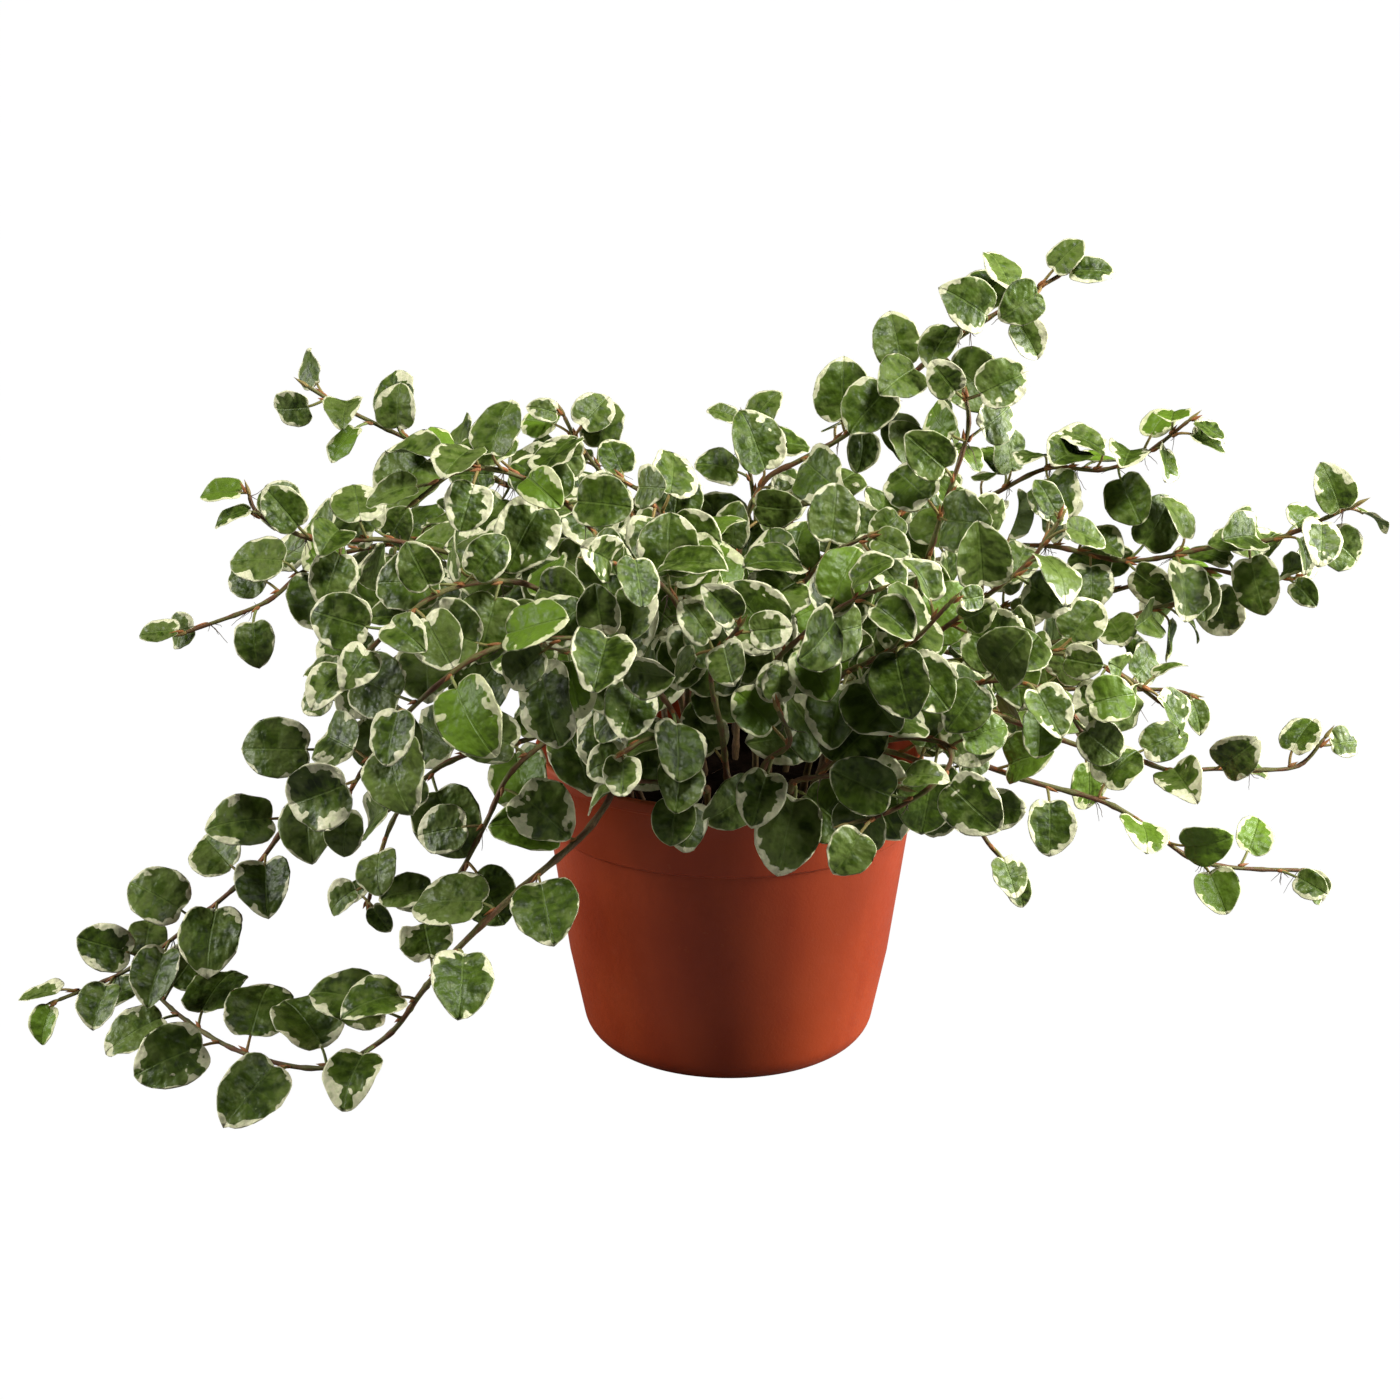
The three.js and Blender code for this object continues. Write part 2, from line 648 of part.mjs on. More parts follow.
function stalkRing(skin, place, leaf, grow) {
  const width = STALK.width / 2 + grow;
  const depth = BLADE.ribThickness / 2 + grow;
  return [[1, 1], [-1, 1], [-1, -1], [1, -1]].map(([y, z]) => {
    const point = place.clone().addScaledVector(leaf.across, y * width);
    return skin.corner(point.addScaledVector(leaf.normal, z * depth));
  });
}

// Blade on from the ring at its base: upper and lower face split alike, and a rim between them

function addBlade(skin, neck, leaf, grow) {
  const [upperLeft, upperRight, lowerRight, lowerLeft] = neck;
  const corners = bladeCorners(leaf, grow);
  const face = (level) => corners.map(({ x, y, z }) => {
    const point = leaf.base.clone().addScaledVector(leaf.axis, x).addScaledVector(leaf.across, y);
    return skin.corner(point.addScaledVector(leaf.normal, z + level * (BLADE.rimThickness / 2 + grow)));
  });
  const upper = [upperLeft, ...face(1), upperRight];
  const lower = [lowerLeft, ...face(-1), lowerRight];
  const tip = (upper.length - 1) / 2;
  skin.triangle(upperLeft, upperRight, upper[tip], lowerLeft, lower[tip], lowerRight);
  for (let i = 1; i < upper.length - 2; i += 1) {
    const hub = i < tip ? 0 : upper.length - 1;
    skin.triangle(upper[hub], upper[i + 1], upper[i], lower[hub], lower[i], lower[i + 1]);
  }
  for (let i = 0; i < upper.length - 1; i += 1) {
    skin.triangle(upper[i], upper[i + 1], lower[i], upper[i + 1], lower[i + 1], lower[i]);
  }
}

// A leaf on its own, to try where it fits

function looseLeaf(leaf, stalkStart, grow = 0) {
  const skin = new Skin();
  const root = stalkRing(skin, stalkStart, leaf, grow);
  const neck = stalkRing(skin, leaf.base, leaf, grow);
  skin.cap([...root].reverse());
  skin.band(root, neck);
  addBlade(skin, neck, leaf, grow);
  return skin.geometry();
}

// The side of the stem that a leaf grows from: the one that looks most the way its stalk runs

function stemSide(skin, near, far, stalk) {
  const sides = near.map((corner, index) => {
    const next = (index + 1) % near.length;
    const [a, b, c, d] = [corner, near[next], far[next], far[index]].map((each) => skin.corners[each]);
    const outward = new THREE.Vector3().subVectors(c, a).cross(d.clone().sub(b)).normalize();
    return { index, match: outward.dot(stalk) };
  });
  return sides.reduce((best, side) => (side.match > best.match ? side : best));
}

// A four-cornered patch in the middle of a stem side, where a stalk starts

function stalkPatch(skin, frame) {
  const [a, b, c, d] = frame.map((each) => skin.corners[each]);
  const half = (near, far) => Math.min(STALK.width / 2 / near.distanceTo(far), STALK.widest);
  const acrossHalf = half(a, b);
  const alongHalf = half(a, d);
  return [[-1, -1], [1, -1], [1, 1], [-1, 1]].map(([u, v]) => {
    const near = a.clone().lerp(b, 0.5 + u * acrossHalf);
    const far = d.clone().lerp(c, 0.5 + u * acrossHalf);
    return skin.corner(near.lerp(far, 0.5 + v * alongHalf));
  });
}

// The same ring, started at the corner that keeps the stalk straightest

function leastTwisted(skin, ring, neck) {
  const turned = ring.map((_, start) => ring.map((__, index) => ring[(index + start) % ring.length]));
  const apart = (each) => each.reduce((sum, corner, index) => (
    sum + skin.corners[corner].distanceTo(skin.corners[neck[index]])), 0);
  return turned.reduce((best, each) => (apart(each) < apart(best) ? each : best));
}

// A stem and its leaves as one closed skin: each leaf grows out of a side of the stem

function shootGeometry(stem, leaves) {
  const skin = new Skin();
  const rings = stemRings(skin, stem.joints, stem.shoot.facing);
  for (let i = 1; i < rings.length; i += 1) {
    const leaf = leaves.find((each) => each.joint === i - 1);
    const stalk = leaf ? leaf.base.clone().sub(leaf.root).normalize() : null;
    const grownFrom = leaf ? stemSide(skin, rings[i - 1], rings[i], stalk).index : -1;
    for (let side = 0; side < STEM.sides; side += 1) {
      const next = (side + 1) % STEM.sides;
      const frame = [rings[i - 1][side], rings[i - 1][next], rings[i][next], rings[i][side]];
      if (side === grownFrom) {
        const patch = stalkPatch(skin, frame);
        skin.band(frame, patch);
        const neck = stalkRing(skin, leaf.base, leaf, 0);
        skin.band(leastTwisted(skin, patch, neck), neck);
        addBlade(skin, neck, leaf, 0);
      } else {
        skin.cap(frame);
      }
    }
  }
  skin.cap([...rings[0]].reverse());
  skin.cap(rings[rings.length - 1]);
  return skin.geometry();
}

// Solids that a new leaf has to stay clear of, each with its box

function obstacle(owner, geometry) {
  geometry.computeBoundingBox();
  return { owner, solid: toSolid(geometry), box: geometry.boundingBox };
}

function meets(geometry, others) {
  geometry.computeBoundingBox();
  const near = others.filter((other) => geometry.boundingBox.intersectsBox(other.box));
  if (near.length === 0) {
    return false;
  }
  const solid = toSolid(geometry);
  const found = near.some((other) => {
    const shared = solid.intersect(other.solid);
    const touching = !shared.isEmpty();
    shared.delete();
    return touching;
  });
  solid.delete();
  return found;
}

function isClear(leaf, stem, obstacles) {
  const outer = looseLeaf(leaf, leaf.root, BLADE.margin);
  outer.computeBoundingBox();
  if (outer.boundingBox.min.z < FLOOR_GAP) {
    return false;
  }
  const stalk = leaf.base.clone().sub(leaf.root).normalize();
  const side = stemSide(stem.skin, stem.rings[leaf.joint], stem.rings[leaf.joint + 1], stalk);
  if (side.match < GROWTH.squarest) {
    return false;
  }
  const others = obstacles.filter((other) => other.owner !== stem.name);
  if (meets(outer, others)) {
    return false;
  }
  const bladeStart = leaf.base.clone().lerp(leaf.root, STALK.firstTried);
  return !meets(looseLeaf(leaf, bladeStart), obstacles.filter((other) => other.owner === stem.name));
}

// The first of a joint's possible leaves that is clear of everything grown before it

function growLeaf(stem, joint, obstacles) {
  const { joints, shoot, number } = stem;
  for (let attempt = 0; attempt < GROWTH.tries; attempt += 1) {
    const random = seededRandom(number * SEED.shoot + joint * SEED.joint + attempt);
    const frame = leafFrame(joints, joint, shoot, random, shoot.loose + GROWTH.slack * attempt);
    const length = leafSize(shoot, joints.length - 2 - joint, random);
    const width = length * (BLADE.narrowest + (1 - BLADE.narrowest) * random());
    const leaf = { ...frame, joint, length, width, wave: 2 * random() - 1 };
    if (isClear(leaf, stem, obstacles)) {
      return leaf;
    }
  }
  return null;
}

// Stems count as obstacles under their own shoot's name, and leaves under no name of a shoot, so
// that a leaf keeps its distance from its neighbours too

function growShoot(stem, obstacles) {
  const leaves = [];
  for (let joint = bareJoints(stem.shoot); joint < stem.joints.length - 1; joint += 1) {
    const leaf = growLeaf(stem, joint, obstacles);
    if (leaf) {
      const stalkStart = leaf.base.clone().lerp(leaf.root, STALK.firstKept);
      obstacles.push(obstacle('leaf', looseLeaf(leaf, stalkStart)));
      leaves.push(leaf);
    }
  }
  return shootGeometry(stem, leaves);
}

// The plant

const pot = potSolid();
const soilBlock = soilSolid();
const lines = bendClear(Object.values(SHOOTS).map(smoothLine));
const stems = Object.entries(SHOOTS).map(([name, shoot], number) => {
  const joints = stemJoints(lines[number], shoot, number + 1);
  const skin = new Skin();
  return { name, shoot, number, joints, skin, rings: stemRings(skin, joints, shoot.facing) };
});
const soil = stems.reduce((block, stem) => block.subtract(stemHole(stem)), soilBlock);
const obstacles = [
  obstacle('pot', toGeometry(pot)),
  obstacle('soil', toGeometry(soilBlock)),
  ...stems.map((stem) => obstacle(stem.name, bareStem(stem.joints, stem.shoot.facing))),
];

const plant = new THREE.Group();
plant.add(namedMesh('pot', toGeometry(pot), POT_PLASTIC));
plant.add(namedMesh('soil', toGeometry(soil), PEAT));
for (const stem of stems) {
  plant.add(namedMesh(stem.name, growShoot(stem, obstacles), LEAFY));
}

export default plant;
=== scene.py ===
# Looks of the potted creeping fig: fine leaves, stems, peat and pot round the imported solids.
# Sizes are in millimetres and become metres when a mesh is made. -Y is the front.

import math

import bpy
import numpy as np
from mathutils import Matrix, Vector
from mathutils.kdtree import KDTree


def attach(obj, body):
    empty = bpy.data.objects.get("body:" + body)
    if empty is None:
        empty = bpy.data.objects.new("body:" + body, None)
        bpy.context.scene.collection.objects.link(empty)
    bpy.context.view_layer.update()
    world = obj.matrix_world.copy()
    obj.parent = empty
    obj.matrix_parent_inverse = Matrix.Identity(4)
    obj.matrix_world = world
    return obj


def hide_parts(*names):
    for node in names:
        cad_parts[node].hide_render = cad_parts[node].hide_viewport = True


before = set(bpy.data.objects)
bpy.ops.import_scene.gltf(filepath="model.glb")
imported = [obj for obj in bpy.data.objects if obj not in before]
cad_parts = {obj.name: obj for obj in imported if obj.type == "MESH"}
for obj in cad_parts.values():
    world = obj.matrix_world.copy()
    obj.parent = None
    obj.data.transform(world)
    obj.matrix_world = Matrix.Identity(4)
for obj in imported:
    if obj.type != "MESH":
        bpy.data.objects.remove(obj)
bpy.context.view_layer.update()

MM = 0.001
NOISE_SIDE = 64

# Pot and soil

POT = dict(height=96, rim=60.2, rim_inner=58.2, band=4, collar=58, step=73, base=46, flare=0.143,
           corner=10, wall=1.5, floor=2, soft=0.5, lip=1.0, sides=180)
DRAIN = dict(count=6, radius=4, circle=27, past=3, sides=24)
SOIL_SURFACE = 85
SOIL = dict(flat_to=50, slope=0.2, gap=0.3, fade=2, edge_lumps=0.15, rings=44, sides=150)
PEAT_LUMPS = ((1.3, 9), (0.8, 3.4), (0.55, 1.5))

# How the stems grow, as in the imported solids

ROOT_DEPTH = 17
ROOT_LEAN = 0.96
BEND = dict(step=4, clear=4.7, rounds=60, rim_reach=7, rim_lift=4.5, root_reach=49, floor=1.8)
GROWTH = dict(gap=15.6, uneven=0.12, closer=0.4, tries=34, lean=62, spread=14, rise=0.4, droop=0.25,
              slack=0.02, bare_step=21, tip_lean=0.4)
YOUNG = dict(count=3, shrink=0.11, smallest=12)
LEAF_SIZE = 0.86
LEAF_SPREAD = 0.26
STALK_LENGTH = 5.5
RIM_THICKNESS = 0.65
TIP_DROP = 0.05
FOLD = 0.18
WAVE = 0.09
NARROWEST = 0.84
SMALL_LEAF = 18.5
BIG_WAVE = ([0, 0.07, 0.42, 0.8, 1], [0, 0.2, -0.5, 0.6, 0])
SMALL_WAVE = ([0, 0.16, 0.68, 1], [0, 0.3, -0.4, 0])
DOWN = np.array([0, 0, -1.0])
ACROSS_START = (0.3, 0.2, 0.9)

# Each shoot: where it roots, its leaf length, the side of its first leaf, the bare length from its
# root, how loosely its leaves hang, the way they face, and the points that it runs through

FIELDS = ("root", "leaf", "side", "bare", "loose", "facing", "route")
SHOOTS = {
    "left_floor": ((-26, -33), 21, 1, 62, 0.3, (0, -0.6, 0.8), [
        (-31, -51, 100), (-42, -67, 90), (-61, -84, 78), (-78, -88, 62), (-89, -74, 44), (-102, -60, 23),
        (-121, -60, 13), (-146, -50, 13), (-168, -28, 14), (-184, -4, 15), (-192, 14, 16)]),
    "left_long": ((-38, 2), 20, 1, 75, 0.35, (-0.1, -0.7, 0.6), [
        (-51, -20, 119), (-76, -34, 143), (-101, -40, 132), (-115, -40, 115), (-123, -36, 98),
        (-143, -27, 66), (-166, -15, 42), (-186, -9, 25), (-199, -9, 18), (-212, -14, 14)]),
    "left_cut": ((-38, 16), 19, -1, 60, 0.5, (-0.3, -0.7, 0.6), [
        (-53, 20, 136), (-87, 16, 155), (-118, 10, 154), (-131, 4, 149), (-142, -2, 141), (-166, -8, 133)]),
    "left_high": ((-20, 30), 20, 1, 70, 0.5, (-0.2, -0.9, 0.5), [
        (-28, 34, 136), (-58, 36, 163), (-83, 34, 175), (-95, 32, 182), (-119, 28, 195), (-131, 26, 203)]),
    "right_long": ((2, 16), 19, -1, 85, 0.8, (0.1, -0.9, 0.5), [
        (4, 14, 125), (2, 16, 145), (5, 16, 163), (11, 15, 176), (21, 14, 182), (35, 10, 191),
        (45, 6, 201), (59, 0, 216), (75, -6, 229), (87, -8, 237), (97, -8, 243)]),
    "right_lowest": ((42, -14), 16, 1, 60, 1.1, (0.2, -0.8, 0.5), [
        (46, -22, 108), (69, -34, 103), (89, -38, 97), (110, -38, 91), (122, -40, 85), (136, -42, 75),
        (145, -42, 72), (158, -40, 70), (172, -38, 69)]),
    "right_low": ((42, 4), 17, -1, 60, 1.1, (0.2, -0.8, 0.5), [
        (48, 10, 112), (78, 10, 104), (109, 4, 94), (124, 0, 92), (137, -2, 88), (151, 0, 88),
        (166, 2, 87), (178, 4, 88), (186, 6, 97)]),
    "right_tip": ((18, 30), 18, 1, 75, 1.0, (0.2, -0.8, 0.6), [
        (36, 48, 132), (68, 60, 139), (100, 56, 145), (128, 48, 142), (152, 38, 149), (171, 30, 154),
        (184, 26, 161), (195, 24, 167)]),
    "right_dark": ((26, 36), 18, -1, 70, 1.0, (0.2, -0.8, 0.6), [
        (43, 56, 116), (76, 62, 118), (98, 60, 126), (120, 56, 129), (136, 50, 135), (151, 46, 140),
        (166, 44, 138), (181, 42, 138)]),
    "right_back": ((8, 38), 18, 1, 75, 0.8, (0.1, -0.5, 0.9), [
        (23, 54, 127), (52, 66, 144), (82, 68, 157), (102, 62, 169), (119, 56, 170), (132, 52, 176),
        (146, 50, 188)]),
    "right_rise": ((28, -6), 18, 1, 60, 0.7, (0.1, -0.9, 0.4), [
        (36, -20, 123), (47, -34, 141), (52, -40, 153), (57, -46, 168), (60, -48, 180), (64, -50, 194),
        (67, -50, 207), (65, -50, 218)]),
    "right_inner": ((12, 6), 17, -1, 90, 0.7, (0.1, -0.9, 0.5), [
        (14, 8, 130), (14, 12, 152), (22, 16, 168), (32, 18, 164), (44, 20, 160), (55, 21, 157),
        (67, 22, 154)]),
    "left_drop": ((-34, -20), 21, -1, 50, 0.4, (-0.2, -0.8, 0.7), [
        (-41, -44, 119), (-52, -58, 116), (-63, -66, 108), (-69, -70, 96), (-77, -70, 80), (-85, -66, 66)]),
    "left_under": ((-40, -10), 19, 1, 50, 0.4, (-0.4, -0.7, 0.6), [
        (-43, -30, 122), (-56, -38, 111), (-75, -46, 108), (-87, -50, 103), (-97, -54, 92),
        (-103, -54, 77), (-107, -50, 62)]),
    "left_side": ((-32, 26), 19, 1, 60, 0.5, (-0.2, -0.7, 0.8), [
        (-46, 6, 143), (-74, -20, 159), (-99, -34, 169), (-118, -40, 170), (-129, -42, 175),
        (-136, -42, 179), (-138, -42, 185)]),
    "left_front": ((-30, -8), 21, 1, 60, 0.4, (-0.2, -0.8, 0.6), [
        (-38, -46, 139), (-55, -74, 166), (-76, -92, 170), (-91, -100, 161), (-105, -100, 147)]),
    "left_mid": ((-22, -2), 20, -1, 60, 0.4, (-0.1, -0.8, 0.7), [
        (-27, -24, 145), (-39, -56, 178), (-55, -74, 196), (-72, -82, 201), (-85, -86, 193)]),
    "left_low": ((-30, -24), 22, -1, 55, 0.35, (-0.3, -0.8, 0.5), [
        (-31, -60, 132), (-46, -88, 152), (-64, -102, 156), (-83, -106, 143), (-98, -100, 124),
        (-108, -94, 107)]),
    "crown_left": ((-12, 14), 19, 1, 60, 0.45, (0, -0.9, 0.6), [
        (-23, 4, 147), (-32, 2, 173), (-40, 0, 183), (-46, -2, 192), (-50, -2, 200)]),
    "crown_mid": ((-8, 2), 20, -1, 55, 0.45, (0, -0.8, 0.7), [
        (-12, -10, 132), (-15, -22, 160), (-22, -34, 180), (-31, -42, 189)]),
    "crown_front": ((-14, -12), 20, 1, 55, 0.45, (0, -0.8, 0.7), [
        (-12, -40, 129), (-14, -66, 157), (-24, -84, 173), (-38, -94, 179)]),
    "crown_right": ((8, 24), 19, 1, 60, 0.5, (0, -0.9, 0.5), [
        (2, 30, 134), (8, 32, 156), (6, 30, 176), (4, 28, 192)]),
    "front_big": ((12, -26), 20, -1, 50, 0.4, (0, -0.9, 0.5), [
        (12, -60, 135), (19, -84, 154), (31, -96, 167), (40, -102, 173)]),
    "right_rim": ((24, -40), 21, 1, 45, 0.35, (0, -0.9, 0.4), [
        (29, -62, 111), (48, -80, 124), (61, -92, 125), (57, -97, 117), (44, -99, 109), (32, -99, 105)]),
    "right_drop": ((34, -32), 18, -1, 45, 0.5, (0.1, -0.9, 0.4), [
        (41, -56, 112), (59, -76, 113), (66, -88, 107), (72, -94, 98), (78, -96, 92)]),
    "right_crowd": ((36, -26), 19, 1, 50, 0.55, (0.1, -0.9, 0.5), [
        (43, -60, 124), (61, -80, 138), (77, -90, 144), (90, -92, 139), (98, -90, 128)]),
    "right_front": ((22, -26), 20, 1, 50, 0.5, (0.1, -0.9, 0.5), [
        (29, -64, 133), (37, -88, 148), (49, -100, 158), (59, -106, 171)]),
    "right_fan": ((32, -20), 18, -1, 60, 0.6, (0.1, -0.9, 0.5), [
        (41, -50, 132), (56, -70, 150), (70, -78, 164), (82, -80, 175), (90, -80, 187)]),
    "right_edge": ((40, -6), 18, 1, 60, 0.8, (0.2, -0.8, 0.6), [
        (52, -14, 121), (75, -22, 130), (98, -30, 134), (115, -34, 129), (128, -36, 120)]),
    "right_mid": ((18, 6), 18, -1, 60, 0.6, (0.1, -0.8, 0.7), [
        (25, 4, 134), (40, 2, 154), (53, 0, 172), (61, -2, 188), (64, -4, 197)]),
    "right_light": ((34, 14), 17, 1, 60, 0.9, (0.2, -0.8, 0.6), [
        (45, 28, 118), (74, 30, 110), (100, 26, 106), (111, 22, 107), (137, 18, 108), (145, 16, 107)]),
    "right_thin": ((36, 26), 17, -1, 60, 1.0, (0.2, -0.8, 0.6), [
        (49, 46, 116), (74, 50, 110), (88, 50, 113), (107, 48, 115), (123, 44, 121), (134, 40, 128),
        (146, 36, 132)]),
    "front_left": ((-18, -34), 20, 1, 36, 0.45, (-0.1, -0.9, 0.5), [
        (-14, -62, 120), (-25, -88, 146), (-39, -100, 158), (-53, -106, 160)]),
    "front_rim": ((-14, -44), 19, -1, 36, 0.45, (-0.1, -0.9, 0.4), [
        (-11, -62, 111), (-21, -78, 123), (-30, -88, 122)]),
    "front_mid": ((0, -36), 19, 1, 36, 0.45, (0, -0.9, 0.5), [
        (-2, -62, 119), (-5, -84, 145), (3, -94, 161)]),
    "front_right": ((10, -45), 19, 1, 36, 0.45, (0.1, -0.9, 0.4), [
        (10, -66, 111), (17, -84, 124), (13, -90, 136)]),
    "front_spill_left": ((-6, -47), 17, -1, 34, 0.45, (-0.1, -0.9, 0.4), [
        (-8, -66, 105), (-19, -78, 110), (-32, -82, 112)]),
    "front_spill_right": ((19, -45), 20, 1, 34, 0.4, (0.1, -0.9, 0.4), [
        (18, -66, 105), (24, -82, 113), (36, -92, 117), (48, -100, 116)]),
    "front_high": ((8, -10), 20, -1, 60, 0.5, (0, -0.8, 0.7), [
        (9, -30, 135), (20, -50, 159), (28, -62, 172), (39, -70, 180)]),
    "back_left": ((-12, 42), 20, 1, 55, 0.4, (-0.2, 0.6, 0.8), [
        (-22, 66, 124), (-38, 96, 138), (-54, 118, 126), (-64, 132, 100)]),
    "back_far_left": ((-28, 38), 20, -1, 55, 0.4, (-0.5, 0.4, 0.8), [
        (-48, 50, 132), (-78, 66, 148), (-104, 78, 140), (-120, 86, 118)]),
    "back_mid": ((2, 46), 20, 1, 55, 0.4, (0, 0.6, 0.8), [
        (0, 72, 120), (-4, 104, 128), (-2, 128, 108), (2, 140, 84)]),
    "back_right": ((18, 43), 19, -1, 55, 0.4, (0.3, 0.6, 0.7), [
        (26, 70, 112), (42, 98, 120), (56, 118, 108), (64, 130, 88)]),
}
SHOOTS = {name: dict(zip(FIELDS, values)) for name, values in SHOOTS.items()}

# The outline of half a blade from its base to its tip, in lengths along and widths across, the grid
# of its corners, its relief and its rim

OUTLINE = [[0, 0], [-0.035, 0.13], [-0.02, 0.27], [0.07, 0.395], [0.215, 0.475], [0.4, 0.5],
           [0.585, 0.475], [0.745, 0.395], [0.87, 0.27], [0.955, 0.14], [1, 0]]
ROWS = 18
COLUMNS = np.array([-1, -0.93, -0.8, -0.62, -0.42, -0.2, 0, 0.2, 0.42, 0.62, 0.8, 0.93, 1])
VEINS = 5
BLADE_THICKNESS = 0.34
USUAL_WIDTH = 0.92
RIB = dict(depth=0.3, width=0.55)
RELIEF = dict(ripple=0.02, pucker=0.024, broad=3.4, fine=1.9, lobes=0.014, teeth=0.03)

# How leaves differ: how many are light green, their cream margins, folds, ripples and bends

LIGHTER_STEMS = ("right", "front_high")
LIGHTER = dict(share=0.16, rest=0.22)
DARKER = dict(share=0.09, rest=0.1)
LIGHT_GREEN = (0.6, 1.0)
NARROW_CREAM, BROAD_CREAM = (0.15, 0.5), (0.6, 1.35)
NARROW_SHARE = 0.25
FULL_CREAM = 18
FOLDED, OPEN = (1.9, 3.0), (0.6, 1.3)
FOLDED_SHARE = 0.2
CHARACTER = dict(ripple=(0.5, 1.8), arch=(-0.08, 0.24), curl=(0, 0.22), skew=(-0.06, 0.06))

# How far from a packed corner a leaf's tip may be, and the lowest height of a blade

TIP_MATCH = 0.03
FLOOR_GAP = 0.3

# Stems and stalks from thick to thin, the sheath at the foot of a stalk, the bud at the tip of a
# stem, and the aerial roots

STEM = dict(radius=(1.1, 0.6), step=1.8, swell=0.3, swell_reach=1.5, uneven=0.03, end=0.4, sides=9)
STALK = dict(radius=(0.5, 0.4), past=1.4, under=0.25, handle=1.6, brown=(0, 0.5), green=(0.3, 0.9),
             rows=6, sides=6)
SHEATH = dict(radii=(0.45, 0.62, 0.58, 0.42, 0.22, 0.02), length=(2.6, 4.6), out=0.6, spread=1,
              back=0.4, turned_up=0.25, brown=(0.6, 1), sides=6)
TIP_BUD = dict(radii=(0.5, 0.66, 0.68, 0.6, 0.46, 0.3, 0.15, 0.02), length=5, sunk=1,
               sag=((-0.36, -0.36, -0.12), (0.36, 0.36, 0.48)), brown=0.35, green=0.6, sides=7)
HAIRS = dict(share=0.2, count=(2, 5), length=(3, 9), radius=(0.17, 0.07), spread=0.55, lean=(-0.6, 0.6),
             curl=0.3, shake=0.12, floor=0.4, rows=9, sides=4)
CELLS_A_LEAF = 8
MORE_CELLS = 30

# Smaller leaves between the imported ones, and young ones at the tips. What the plant already takes
# is kept in small cubes

CUBE = 1.5
NEAR = 1.2 * np.vstack([np.zeros(3), np.eye(3), -np.eye(3)])
ROOM_MARGIN = 1.06
ROOM_FLOOR = 1
FIT_TRIES = 14
FILL = dict(step=8.5, shift=(-2, 2), stalk=(2.5, 7.5), reach=(1.5, 4), size=(0.62, 0.95), loose=0.4,
            looser=0.7, hang=0.3, foot=16, end=6, lowest=112, left=-135, right=190,
            beside_pot=4, over_rim=10, bare=34, bare_back=15, bare_top=145)
YOUNGEST = dict(size=(9, 13), width=(0.72, 0.9), lean=(0.4, 1.1), back=(0.5, 3), stalk=2.5, loose=0.4)

# Colours, as red, green and blue light

LEAF_DARK = (0.018, 0.035, 0.002)
LEAF_MID = (0.062, 0.106, 0.008)
LEAF_GREY = (0.18, 0.235, 0.058)
LEAF_CREAM = (0.84, 0.8, 0.54)
LEAF_YOUNG = (0.13, 0.23, 0.015)
LEAF_UNDER = (0.14, 0.2, 0.05)
VEIN = (0.16, 0.24, 0.045)
LEAF_PALE = (0.62, 0.66, 0.36)
LEAF_YOUNG_PALE = (0.6, 0.66, 0.25)
LEAF_STAIN = (0.03, 0.04, 0.015)
BARK = ((0.066, 0.036, 0.016), (0.16, 0.093, 0.037))
GREEN_STEM = ((0.11, 0.1, 0.026), (0.17, 0.165, 0.045))
BLUSH = (0.15, 0.065, 0.026)
STALK_GREEN = (0.24, 0.32, 0.09)
BUD_SHEATH = ((0.3, 0.085, 0.02), (0.42, 0.17, 0.05))
ROOT_HAIR = ((0.06, 0.035, 0.022), (0.19, 0.13, 0.09))
PLASTIC = ((0.36, 0.042, 0.008), (0.42, 0.055, 0.011))
PLASTIC_CLOUD = (0.44, 0.066, 0.014)
# Painted highlight: the pale colour of the band along the pot's lip, in place of the light that it catches
PLASTIC_LIP_HIGHLIGHT = (0.52, 0.13, 0.05)
PLASTIC_DUST = (0.45, 0.12, 0.045)
PEAT = ((0.003, 0.002, 0.0015), (0.01, 0.006, 0.004))
PEAT_FIBRE = (0.035, 0.022, 0.013)
FLOOR_GREY = (0.17, 0.17, 0.17, 1)
WHITE = (1, 1, 1, 1)

# Floor, lights and camera, in metres, watts and degrees, with the lens and its sensor in millimetres

FLOOR = dict(reach=14, drop=0.0002, glow=1.02, glow_share=0.985)
LIT_PLACE = (0, 0, 0.12)
LIGHTS = {
    "left_box": dict(at=(-1.0, 0.0, 0.42), size=(0.4, 0.6), power=10),
    "right_box": dict(at=(1.0, 0.03, 0.38), size=(0.5, 0.6), power=23),
    "top_box": dict(at=(0.35, -0.4, 1.0), size=(0.25, 0.2), power=11.5),
}
WORLD_LIGHT = 0.012
CAMERA = dict(at=(0, -0.82123, 0.36821), pitch=17.465, yaw=0.630, lens=71.74, sensor=36)


# Small helpers


def linked(name, data):
    """A new object in the scene."""
    made = bpy.data.objects.new(name, data)
    bpy.context.scene.collection.objects.link(made)
    return made


def value_noise(x, y, seed, scale):
    """Smooth noise from -1 to 1 over a plane."""
    table = np.random.default_rng(seed).uniform(-1, 1, (NOISE_SIDE, NOISE_SIDE))
    gx, gy = x / scale + 30, y / scale + 30
    ix, iy = np.floor(gx).astype(int), np.floor(gy).astype(int)
    fx, fy = (part * part * (3 - 2 * part) for part in (gx - ix, gy - iy))

    def row(k):
        near, far = (table[(ix + step) % NOISE_SIDE, (iy + k) % NOISE_SIDE] for step in (0, 1))
        return near * (1 - fx) + far * fx

    return row(0) * (1 - fy) + row(1) * fy


# Growth


